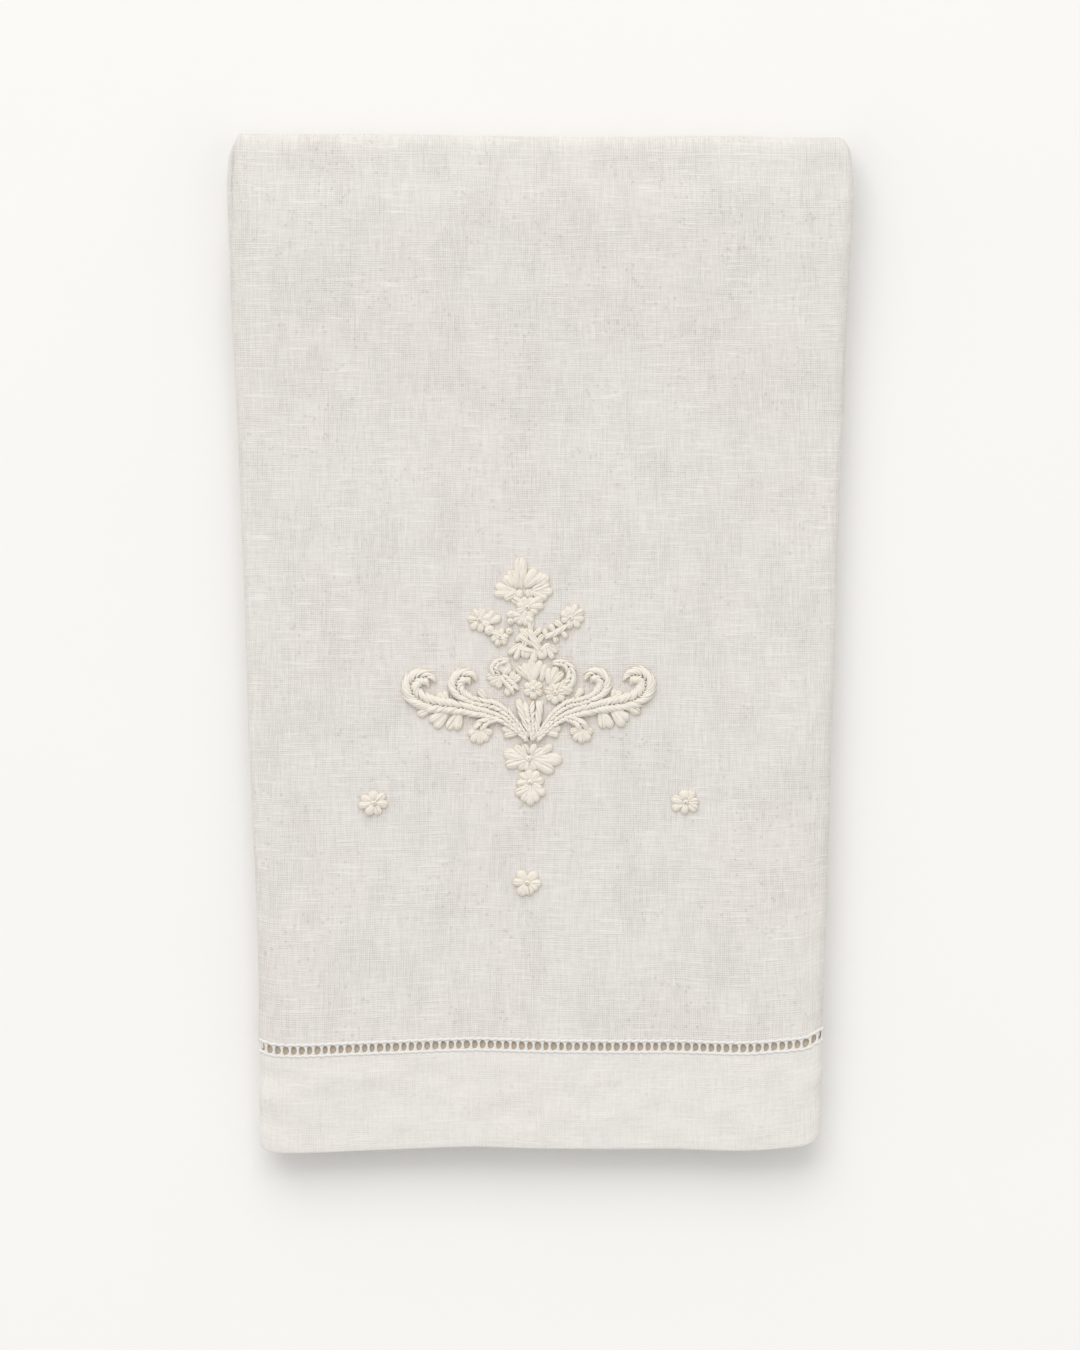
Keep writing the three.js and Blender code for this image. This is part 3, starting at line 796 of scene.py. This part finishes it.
CROWN = [
    petal(-2.6, 46.0, 90, 9.6, 3.8),
    petal(-3.4, 46.2, 114, 6.2, 3.0),
    *spread(-1.6, 46.6, [
        [58, 6.6, 3.0],
        [36, 6.0, 2.8],
    ]),
    *spread(0.4, 45.4, [
        [24, 6.2, 2.8],
        [0, 6.6, 2.9],
        [-24, 5.4, 2.4],
    ]),
    *spread(-3.4, 45.2, [
        [164, 7.0, 2.8],
        [184, 7.0, 2.6],
        [206, 4.6, 2.2],
    ]),
    petal(-2.4, 46.2, -112, 3.0, 2.6),
    petal(-0.4, 46.4, -76, 3.0, 2.6),
    *spread(2.2, 47.0, [
        [76, 4.4, 3.2],
        [44, 4.8, 3.0],
    ]),
    *spread(-4.6, 46.6, [
        [132, 4.6, 3.0],
    ]),
]

BOW = [
    knot(-0.1, -4.4, 1.1),
    *spread(-0.2, -4.4, [
        [168, 7.6, 3.6],
        [196, 7.2, 3.2],
        [138, 5.8, 2.6],
        [28, 5.8, 2.8],
        [-2, 10.0, 3.8],
        [-27, 8.4, 3.4],
        [-62, 4.2, 2.4],
        [-97, 3.9, 2.4],
        [-132, 4.4, 2.4],
    ]),
    petal(2.6, -3.6, 38, 5.4, 2.4),
    petal(-0.2, -3.4, 114, 3.8, 2.2),
    petal(0.2, -3.4, 64, 3.8, 2.2),
]

PENDANT = [
    *rosette(0.3, -11.4, 8, 4.2, 2.5, 8),
    *spread(0.3, -12.8, [
        [-154, 5.0, 2.6],
        [-116, 5.0, 2.6],
        [-90, 5.6, 2.6],
        [-64, 5.0, 2.6],
        [-26, 5.0, 2.6],
    ]),
]

SPRAY_AXIS_X = 0.9

# Parts of the spray, named as their solids are
SPRAY = {
    "stems": STEMS,
    "bow": BOW,
    "pendant": PENDANT,
    "scroll_left": SCROLL,
    "scroll_right": other_side(SCROLL, SPRAY_AXIS_X, 0.94, 0.02),
    "bouquet_middle": BOUQUET_MIDDLE,
    "bouquet_left": BOUQUET_LEFT,
    "bouquet_right": BOUQUET_RIGHT,
    "leafy_stem": LEAFY_STEM,
    "rosette": ROSETTE,
    "crown": CROWN,
    "sprig_left": SPRIG_LEFT,
    "sprig_right": SPRIG_RIGHT,
}

# Three small flowers that stand by themselves, from the spray's origin
FLORETS = {
    "floret_left": floret(-46.2, -17.6, [
        [96, 3.8, 3.0],
        [156, 4.4, 2.4],
        [192, 4.8, 2.2],
        [238, 4.2, 2.8],
        [292, 3.9, 2.5],
        [354, 4.1, 2.5],
        [40, 4.2, 2.3],
    ]),
    "floret_right": floret(46.7, -17.4, [
        [100, 3.9, 3.2],
        [54, 4.3, 2.4],
        [4, 4.0, 2.4],
        [-34, 4.2, 2.8],
        [-98, 3.6, 2.4],
        [-154, 4.6, 2.5],
        [166, 4.6, 2.7],
    ]),
    "floret_low": floret(-0.6, -41.4, [
        [126, 4.4, 3.0],
        [48, 4.3, 3.0],
        [-4, 4.3, 2.4],
        [-32, 3.8, 2.2],
        [-76, 3.9, 2.6],
        [-122, 4.5, 3.2],
        [176, 4.5, 2.4],
    ]),
}


def on_face(x, y):
    """The place on the cloth, across and along it, that lies under a point of the front face."""
    share = 1 - smooth((y - HEM_Y - WAVE_HOLDS) / WAVE_FADES)
    return x, y - HEM_Y - from_table(HEM_WAVE, "across", "rise", x) * share


class Stitched:
    """A padded band of stitches: places on it, by its share of the length and of the width."""

    def __init__(self, piece):
        path = piece["path"]
        at = np.append(0, np.cumsum(np.linalg.norm(np.diff(path[:, :2], axis=0), axis=1)))
        fine = np.linspace(0, at[-1], 160)
        self.middle = np.stack([curve(at, path[:, k], fine) for k in (0, 1)], -1)
        self.half = curve(at, path[:, 2], fine)
        ahead = unit(np.gradient(self.middle, axis=0))
        self.side = np.stack([ahead[:, 1], -ahead[:, 0]], -1)
        self.share = fine / at[-1]
        self.long = at[-1]
        self.high = piece["high"]

    def width_at(self, share):
        """The half width at a share of the length."""
        return np.interp(share, self.share, self.half)

    def place(self, share, side, out):
        """Points at a share of the length, from one side (-1) to the other (1), out above the cloth."""
        middle = np.stack([np.interp(share, self.share, self.middle[:, k]) for k in (0, 1)], -1)
        way = np.stack([np.interp(share, self.share, self.side[:, k]) for k in (0, 1)], -1)
        flat = middle + way * (side * self.width_at(share))[..., None] + np.array(SPRAY_AT)
        points, _ = surface(*on_face(flat[..., 0], flat[..., 1]), out)
        return points

    def crown(self, share, side):
        """The height of the padding: a soft arch that comes down at the sides and at both ends."""
        from_end = np.minimum(share, 1 - share) * self.long / (1.3 * self.width_at(share) + 0.2)
        end = np.sqrt(1 - (1 - np.clip(from_end, 0, 1)) ** 2)
        return self.high * end * np.sqrt(np.clip(1 - 0.96 * side**2, 0, 1))


def padding(band_of, thin=0.9):
    """The low arch under the threads."""
    share = np.linspace(0.01, 0.99, max(9, int(band_of.long / 0.8)))[:, None]
    angle = np.linspace(0, math.pi, 9)
    side = np.append(np.cos(angle), [0.5, -0.5])[None] * thin
    rise = np.append(np.sin(angle), [0, 0])[None]
    crown = band_of.crown(share, 0 * share)
    rings = band_of.place(share + 0 * side, side + 0 * share, 0.78 * thin * crown * rise - 0.12)
    lengths = (band_of.share[:1] + share[:, 0] * band_of.long)[None]
    # painted shade: the padding, seen only in the gaps between threads, takes mostly the deep thread
    # colour
    return loft(rings[None], lengths, np.full((1, *rings.shape[:2]), 0.8))


def satin_petal(band_of, random):
    """A plump petal: threads side by side along it, with soft grooves between them and painted shade in
    its grooves, creases and edges.
    """
    count = max(3, round(2 * band_of.half.max() / THREAD_WIDE))
    share = (0.5 - 0.5 * np.cos(np.linspace(0, math.pi, 20)))[:, None]
    even = np.linspace(-1, 1, 25)
    top = 0.6 * even + 0.4 * np.sin(even * math.pi / 2)
    side = np.concatenate([top, [0.6, 0.0, -0.6]])[None]
    wide = band_of.half.max()
    from_end = np.minimum(share * band_of.long / (0.7 * wide), (1 - share) * band_of.long / wide)
    end = np.sqrt(1 - (1 - np.clip(from_end, 0, 1)) ** 2)
    dip = 1 - random.uniform(0.1, 0.45) * (1 - smooth(share / 0.45))
    arch = np.clip(1 - np.abs(side) ** 2.3, 0, 1) ** 0.6
    wander = random.uniform(0, 1) + random.uniform(-0.5, 0.5) * share
    wander = wander + 0.15 * np.sin(7 * share + 5 * side + random.uniform(0, 6))
    groove = (1 - np.abs(np.sin(math.pi * (count * (side + 1) / 2 + wander)))) ** 1.6
    crease = random.choice([0, 0.5, 1]) * np.exp(-(((side - random.uniform(-0.4, 0.4)) / 0.2) ** 2))
    high = band_of.high * random.uniform(0.85, 1.12)
    out = high * end * dip * arch * (1 - CREASE_DEEP * crease) - GROOVE_DEEP * groove * arch * end
    under = np.arange(side.shape[1])[None] >= len(even)
    out = np.where(under, 0, out) - PETAL_SINKS
    rings = band_of.place(share + 0 * side, side * (0.1 + 0.9 * end), out)
    # painted shade: darker in the grooves and creases, toward the sides and ends, and underneath,
    # handed to the material as the second flat number
    shade = np.clip(0.5 * groove + 0.35 * crease + 0.5 * (1 - arch * end), 0, 1)
    shade = np.where(under, 1, shade)
    lengths = share[:, 0] * band_of.long
    return loft(rings[None], lengths[None], 0.5 + 0.5 * shade[None])


def stitches_along(band_of, random):
    """Long threads that run along a thin stem and turn slowly round one another."""
    share = np.linspace(0, 1, max(12, int(band_of.long / 0.7)))[None]
    turn = random.uniform(0, 2 * math.pi) + 2 * math.pi * band_of.long / STEM_TURN * share
    turn = turn + 2 * math.pi * np.arange(4)[:, None] / 4
    wide = band_of.width_at(share)
    out = band_of.crown(share, 0 * share) * (0.52 + 0.3 * np.sin(turn)) - 0.1
    radii = (0.42 * wide + 0.08) * (1 + 0 * turn)
    return threads(band_of.place(share + 0 * turn, 0.62 * np.cos(turn), out), radii, 8)


def stitches_feathered(band_of, random):
    """Long slanted threads in two rows, with a groove between them, over a wide leaf or scroll."""
    count = max(5, round(band_of.long / STRAND_STEP))
    parts = []
    for hand in (-1, 1):
        middle = (np.arange(count)[:, None] + 0.5 + random.uniform(-0.3, 0.3, (count, 1))) / count
        t = np.linspace(0, 1, 11)
        reach = 1 + random.uniform(-0.12, 0.2, (count, 1))
        side = reach * t**0.8
        slant = STRAND_SLANT * (0.5 * band_of.width_at(middle) + 0.8) / band_of.long
        share = np.clip(middle + slant * (t - 0.6), 0, 1)
        arch = np.sqrt(np.clip(1 - 0.9 * (2 * side - 1) ** 2, 0, 1))
        high = 1.05 + random.uniform(-0.12, 0.12, (count, 1))
        ends = band_of.crown(share, 0 * share)
        out = high * ends * (0.62 + 0.38 * arch) * np.where(side > 0.5, arch, 1) - STRAND_SINKS
        radii = STRAND_R * (0.5 + 0.5 * np.sin(math.pi * t)) * random.uniform(0.85, 1.15, (count, 1))
        radii = radii * np.clip(0.45 + 0.3 * band_of.width_at(middle), 0.5, 1.05)
        parts.append(threads(band_of.place(share, hand * np.minimum(side, 1.14), out), radii, 8))
    return parts


def stitches_round(piece, random):
    """A round knot: a thread wound up in a little mound."""
    x, y, radius = piece["path"][0]
    turns = max(2.0, radius / THREAD_WIDE + 0.8)
    t = np.linspace(0, 1, int(16 * turns))
    reach = (radius - THREAD_R) * np.sqrt(1 - t)
    angle = 2 * math.pi * turns * t + random.uniform(0, 2 * math.pi)
    flat_x = SPRAY_AT[0] + x + reach * np.cos(angle)
    flat_y = SPRAY_AT[1] + y + reach * np.sin(angle)
    out = piece["high"] * (0.25 + 0.65 * np.sqrt(t)) - 0.1
    path, _ = surface(*on_face(flat_x, flat_y), out)
    radii = THREAD_R * 1.15 * (1 + 0 * t)
    return threads(path[None], radii[None])


def make_flower(name, pieces, material, seed):
    """One part of the embroidery, in the place of the solid of the same name."""
    random = np.random.default_rng(seed)
    parts = []
    for piece in pieces:
        if piece["kind"] == "knot":
            parts.append(stitches_round(piece, random))
            continue
        band_of = Stitched(piece)
        if piece["kind"] == "along":
            parts.append(satin_petal(band_of, random))
            continue
        parts.append(padding(band_of))
        if band_of.half.max() < FEATHER_FROM:
            parts.append(stitches_along(band_of, random))
        else:
            parts += stitches_feathered(band_of, random)
    made = make_mesh(f"{name}_stitches", parts, material)
    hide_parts(name)
    return made


# Materials, with each colour as red, green and blue

LINEN_DEEP = (0.682, 0.65, 0.612)
LINEN_PALE = (0.80, 0.776, 0.744)
BLOTCH_COOL = (0.994, 0.992, 0.994)
BLOTCH_WARM = (1.0, 0.992, 0.984)
# Painted shade for the turned-in edge seen through the ladder's holes
TURNED_IN_SHADE = (0.70, 0.60, 0.49)
# Each thread's pale colour is its lit colour, and its deep colour is painted shade for its low sides
# and the gaps between threads
HEM_THREAD_PALE = (0.795, 0.775, 0.745)
HEM_THREAD_SHADE = (0.70, 0.665, 0.62)
IVORY_PALE = (0.83, 0.79, 0.712)
IVORY_SHADE = (0.58, 0.455, 0.305)
TABLE_DEEP = (0.885, 0.877, 0.86)
TABLE_PALE = (0.895, 0.887, 0.872)

THREAD_PITCH = 0.66
# How much each thing lightens the linen, and how strong the contrast is
WEAVE_LIGHT = 0.34
SLUB_LIGHT = 0.95
HOLE_LIGHT = -1.2
HEM_LIGHT = 0.22
CONTRAST = 0.66
HEM_CONTRAST = -0.2


class Nodes:
    """A short way to write a material's nodes."""

    def __init__(self, name):
        self.material = bpy.data.materials.new(name)
        self.material.use_nodes = True
        self.tree = self.material.node_tree
        self.shader = self.tree.nodes["Principled BSDF"]

    def link(self, value, socket):
        if isinstance(value, bpy.types.NodeSocket):
            self.tree.links.new(value, socket)
        else:
            socket.default_value = value

    def flat(self):
        """The place on the flat cloth, in millimetres."""
        node = self.tree.nodes.new("ShaderNodeUVMap")
        node.uv_map = "flat"
        return self.vector("MULTIPLY", node.outputs[0], (1000, 1000, 0))

    def vector(self, operation, a, b):
        node = self.tree.nodes.new("ShaderNodeVectorMath")
        node.operation = operation
        self.link(a, node.inputs[0])
        self.link(b, node.inputs[1])
        return node.outputs[0]

    def math(self, operation, a, b=0.0, c=0.0):
        node = self.tree.nodes.new("ShaderNodeMath")
        node.operation = operation
        for value, socket in zip((a, b, c), node.inputs):
            self.link(value, socket)
        return node.outputs[0]

    def split(self, vector):
        node = self.tree.nodes.new("ShaderNodeSeparateXYZ")
        self.link(vector, node.inputs[0])
        return node.outputs[0], node.outputs[1]

    def noise(self, place, spacing_x, spacing_y, detail=1.0):
        """Noise from 0 to 1, with its spots about so many millimetres apart each way."""
        node = self.tree.nodes.new("ShaderNodeTexNoise")
        node.noise_dimensions = "2D"
        scaled = self.vector("MULTIPLY", place, (1 / spacing_x, 1 / spacing_y, 0))
        self.link(scaled, node.inputs["Vector"])
        node.inputs["Scale"].default_value = 1
        node.inputs["Detail"].default_value = detail
        return node.outputs[0]

    def remap(self, value, low, high, to_low=0.0, to_high=1.0):
        node = self.tree.nodes.new("ShaderNodeMapRange")
        node.interpolation_type = "SMOOTHSTEP"
        for each, socket in zip((value, low, high, to_low, to_high), node.inputs):
            self.link(each, socket)
        return node.outputs[0]

    def speckle(self, place, spacing):
        """A different number from 0 to 1 in each small square of the weave."""
        cells = self.tree.nodes.new("ShaderNodeTexWhiteNoise")
        cells.noise_dimensions = "2D"
        scaled = self.vector("MULTIPLY", place, (1 / spacing, 1 / spacing, 0))
        whole = self.tree.nodes.new("ShaderNodeVectorMath")
        whole.operation = "FLOOR"
        self.link(scaled, whole.inputs[0])
        self.link(whole.outputs[0], cells.inputs["Vector"])
        return cells.outputs[0]

    def mix(self, share, a, b):
        node = self.tree.nodes.new("ShaderNodeMix")
        node.data_type = "RGBA"
        self.link(share, node.inputs["Factor"])
        self.link(a, node.inputs[6])
        self.link(b, node.inputs[7])
        return node.outputs[2]

    def bump(self, height, distance, strength=1.0):
        node = self.tree.nodes.new("ShaderNodeBump")
        node.inputs["Distance"].default_value = distance
        node.inputs["Strength"].default_value = strength
        self.link(height, node.inputs["Height"])
        return node.outputs[0]


def linen_material():
    """Plain woven linen: uneven threads both ways, thick slubs, pinholes and faint blotches."""
    n = Nodes("linen")
    flat = n.flat()
    across, along = n.split(flat)
    patches = n.noise(flat, 26, 22, detail=2)
    # threads that run along the cloth, and threads that run across it
    warp = n.noise(flat, 0.62, 8, detail=2)
    weft = n.noise(flat, 9, 0.66, detail=2)
    wobble = n.noise(flat, 9, 9)
    warp_place = n.math("MULTIPLY_ADD", wobble, 1.2, n.math("DIVIDE", across, THREAD_PITCH))
    weft_place = n.math("MULTIPLY_ADD", wobble, -1.1, n.math("DIVIDE", along, THREAD_PITCH))
    warp_round = n.math("COSINE", n.math("MULTIPLY", warp_place, 2 * math.pi))
    weft_round = n.math("COSINE", n.math("MULTIPLY", weft_place, 2 * math.pi))
    # here the threads along show more, there the threads across
    warp_shows = n.remap(n.noise(flat, 11, 24, detail=2), 0.42, 0.62)
    weft_shows = n.remap(n.noise(n.vector("ADD", flat, (97, 13, 0)), 22, 10, detail=2), 0.42, 0.62)
    weave = n.math("MULTIPLY", warp_round, n.math("MULTIPLY_ADD", warp_shows, 0.6, 0.5))
    weave = n.math("MULTIPLY_ADD", weft_round, n.math("MULTIPLY_ADD", weft_shows, 0.35, 0.28), weave)
    # thicker places in single threads
    slub = n.remap(n.noise(flat, 13, 0.6, detail=1), 0.6, 0.72)
    slub_up = n.remap(n.noise(n.vector("ADD", flat, (31, 47, 0)), 0.6, 12, detail=1), 0.63, 0.77)
    slubs = n.math("MULTIPLY_ADD", slub_up, 0.55, slub)
    streaks = n.math("ADD", n.math("MULTIPLY", warp, 1.25), n.math("MULTIPLY", weft, 0.7))
    # the hems are smoother and paler than the single cloth
    from_middle = n.math("ABSOLUTE", n.math("SUBTRACT", along, CUT_LENGTH / 2))
    hem = n.math("GREATER_THAN", from_middle, CUT_LENGTH / 2 - HEM_DEEP - 0.5)
    open_weave = n.math("SUBTRACT", 1.0, n.math("MULTIPLY", hem, 0.65))
    # small gaps between the threads
    holes = n.remap(n.speckle(flat, THREAD_PITCH), 0.975, 0.99)
    holes = n.math("MULTIPLY", holes, n.remap(patches, 0.4, 0.62))
    holes = n.math("MULTIPLY", holes, open_weave)
    light = n.remap(streaks, 0.66, 1.29, 0.1, 0.9)
    light = n.math("MULTIPLY_ADD", weave, WEAVE_LIGHT, light)
    light = n.math("MULTIPLY_ADD", slubs, SLUB_LIGHT, light)
    light = n.math("MULTIPLY_ADD", holes, HOLE_LIGHT, light)
    light = n.math("SUBTRACT", light, 0.5)
    contrast = n.math("MULTIPLY_ADD", hem, HEM_CONTRAST, CONTRAST)
    light = n.math("MULTIPLY_ADD", light, contrast, 0.5)
    light = n.math("MULTIPLY_ADD", hem, HEM_LIGHT, light)
    thread = n.mix(light, (*LINEN_DEEP, 1), (*LINEN_PALE, 1))
    blotch = n.noise(flat, 52, 44, detail=3)
    tone = n.mix(n.remap(blotch, 0.35, 0.65), (*BLOTCH_COOL, 1), (*BLOTCH_WARM, 1))
    tinted = n.tree.nodes.new("ShaderNodeMix")
    tinted.data_type = "RGBA"
    tinted.blend_type = "MULTIPLY"
    tinted.inputs["Factor"].default_value = 1
    n.link(thread, tinted.inputs[6])
    n.link(tone, tinted.inputs[7])
    # painted shade: the turned-in edge behind the ladders, seen through the holes, is given a darker,
    # warmer beige for the shade that falls there
    shaded_turning = n.math("GREATER_THAN", across, INSIDE_FLAT / 2)
    base = n.mix(shaded_turning, tinted.outputs[2], (*TURNED_IN_SHADE, 1))
    n.link(base, n.shader.inputs["Base Color"])
    pebble = n.noise(flat, 3.2, 3.2, detail=2)
    grains = n.noise(flat, 1.5, 1.5, detail=1)
    height = n.math("MULTIPLY_ADD", weave, 0.3, n.math("MULTIPLY", streaks, 0.5))
    height = n.math("MULTIPLY_ADD", slubs, 0.25, height)
    height = n.math("MULTIPLY", height, n.math("MULTIPLY_ADD", hem, -0.45, 1.0))
    height = n.math("MULTIPLY_ADD", pebble, 1.3, height)
    height = n.math("MULTIPLY_ADD", grains, 0.7, height)
    height = n.math("MULTIPLY_ADD", holes, -0.8, height)
    height = n.math("MULTIPLY", height, n.math("SUBTRACT", 1.0, shaded_turning))
    n.link(n.bump(height, 0.00016), n.shader.inputs["Normal"])
    n.shader.inputs["Roughness"].default_value = 0.9
    n.shader.inputs["Specular IOR Level"].default_value = 0.25
    n.shader.inputs["Sheen Weight"].default_value = 0.08
    n.shader.inputs["Sheen Roughness"].default_value = 0.5
    return n.material


def thread_material(name, pale, deep):
    """Soft twisted thread, a little darker and warmer low down on its sides: painted shade, placed by
    the second number of its flat place.
    """
    n = Nodes(name)
    flat = n.flat()
    length, around = n.split(flat)
    # painted shade: the sides and underside of each thread, away from its top, take the deep colour
    groove = n.remap(n.math("ABSOLUTE", n.math("SUBTRACT", around, 0.5)), 0.12, 0.44)
    place = n.tree.nodes.new("ShaderNodeTexCoord").outputs["Object"]
    fibre = n.noise(n.vector("MULTIPLY", place, (1000, 1000, 0)), 0.5, 0.5, detail=2)
    groove = n.math("MULTIPLY_ADD", n.math("SUBTRACT", fibre, 0.5), 0.3, groove)
    n.link(n.mix(groove, (*pale, 1), (*deep, 1)), n.shader.inputs["Base Color"])
    twist = n.math("MULTIPLY_ADD", length, 9.0, n.math("MULTIPLY", around, 2 * math.pi))
    height = n.math("MULTIPLY_ADD", n.math("SINE", twist), 0.3, fibre)
    n.link(n.bump(height, 0.00005), n.shader.inputs["Normal"])
    n.shader.inputs["Roughness"].default_value = 0.62
    n.shader.inputs["Specular IOR Level"].default_value = 0.35
    n.shader.inputs["Sheen Weight"].default_value = 0.1
    n.shader.inputs["Sheen Roughness"].default_value = 0.4
    return n.material


def floor_material():
    """A smooth pale table with hardly any grain."""
    n = Nodes("table")
    place = n.tree.nodes.new("ShaderNodeTexCoord").outputs["Object"]
    grain = n.noise(place, 0.05, 0.05, detail=3)
    colour = n.mix(grain, (*TABLE_DEEP, 1), (*TABLE_PALE, 1))
    n.link(colour, n.shader.inputs["Base Color"])
    n.link(n.bump(grain, 0.0001, 0.3), n.shader.inputs["Normal"])
    n.shader.inputs["Roughness"].default_value = 0.95
    n.shader.inputs["Specular IOR Level"].default_value = 0.1
    return n.material


# Camera, light and table: places and sizes in metres, the camera's sensor in millimetres

VIEW_HIGH = 1.2
VIEW_Y = -0.0097
FRAME_HIGH = 0.4027
SENSOR_HIGH = 36
WINDOW_AT = (-0.95, 4.6, 4.3)
WINDOW_SIZE = (6.6, 4.8)
WINDOW_POWER = 222
WINDOW_COLOUR = (1.0, 0.998, 0.992)
ROOM_LIGHT = 0.77
ROOM_COLOUR = (1.0, 0.994, 0.984)
TABLE_REACH = 3
TABLE_BELOW = 0.0002


def make_camera():
    """A camera straight above, framed as the photograph is."""
    data = bpy.data.cameras.new("camera")
    data.sensor_fit = "VERTICAL"
    data.sensor_height = SENSOR_HIGH
    data.lens = SENSOR_HIGH * (VIEW_HIGH - FACE_Z * MM) / FRAME_HIGH
    camera = bpy.data.objects.new("camera", data)
    camera.location = (0, VIEW_Y, VIEW_HIGH)
    bpy.context.scene.collection.objects.link(camera)
    bpy.context.scene.camera = camera


def soft_light(name, place, towards, size, power, colour):
    """A large flat light that faces a place."""
    data = bpy.data.lights.new(name, "AREA")
    data.shape = "RECTANGLE"
    data.size, data.size_y = size
    data.energy = power
    data.color = colour
    light = bpy.data.objects.new(name, data)
    light.location = place
    way = Vector(towards) - Vector(place)
    light.rotation_euler = way.to_track_quat("-Z", "Y").to_euler()
    bpy.context.scene.collection.objects.link(light)


def make_stage():
    """The table, the light of the room and the window."""
    mesh = bpy.data.meshes.new("table")
    side = TABLE_REACH
    corners = [(-side, -side, 0), (side, -side, 0), (side, side, 0), (-side, side, 0)]
    mesh.from_pydata(corners, [], [(0, 1, 2, 3)])
    mesh.materials.append(floor_material())
    floor = bpy.data.objects.new("table", mesh)
    floor.location.z = -TABLE_BELOW
    bpy.context.scene.collection.objects.link(floor)
    world = bpy.data.worlds.new("studio")
    world.use_nodes = True
    room = world.node_tree.nodes["Background"]
    room.inputs["Color"].default_value = (*ROOM_COLOUR, 1)
    room.inputs["Strength"].default_value = ROOM_LIGHT
    bpy.context.scene.world = world
    bpy.context.scene.view_settings.view_transform = "Standard"
    soft_light("window", WINDOW_AT, (0, 0, 0), WINDOW_SIZE, WINDOW_POWER, WINDOW_COLOUR)
    return floor


make_camera()
floor = make_stage()

# The solid's own origin is under the middle of its box, so this cloth is set in the same place.
towel_shift = np.zeros(3)
cut_across, cut_along = np.meshgrid(
    np.linspace(-CUT_WIDTH / 2, CUT_WIDTH / 2, 700), np.linspace(0, CUT_LENGTH, 700)
)
plain = folded(cut_across, cut_along).reshape(-1, 3)
low, high = np.array(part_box("cloth")) / MM
towel_shift[0] = high[0] - plain[:, 0].max()
towel_shift[1] = (low[1] + high[1] - plain[:, 1].min() - plain[:, 1].max()) / 2
towel_shift[2] = low[2] - plain[:, 2].min()

linen = make_linen(linen_material())
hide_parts("cloth")

hem_thread = thread_material("hem_thread", HEM_THREAD_PALE, HEM_THREAD_SHADE)
ivory_thread = thread_material("ivory_thread", IVORY_PALE, IVORY_SHADE)
LADDERS = {
    "front_ladder": (HEM_DEEP, HEM_DEEP + LADDER_HIGH),
    "back_ladder": (CUT_LENGTH - HEM_DEEP, CUT_LENGTH - HEM_DEEP - LADDER_HIGH),
}
ladders = [
    make_ladder(name, *edges, hem_thread, seed)
    for seed, (name, edges) in enumerate(LADDERS.items(), start=21)
]

flowers = [
    make_flower(name, pieces, ivory_thread, seed)
    for seed, (name, pieces) in enumerate({**SPRAY, **FLORETS}.items(), start=41)
]
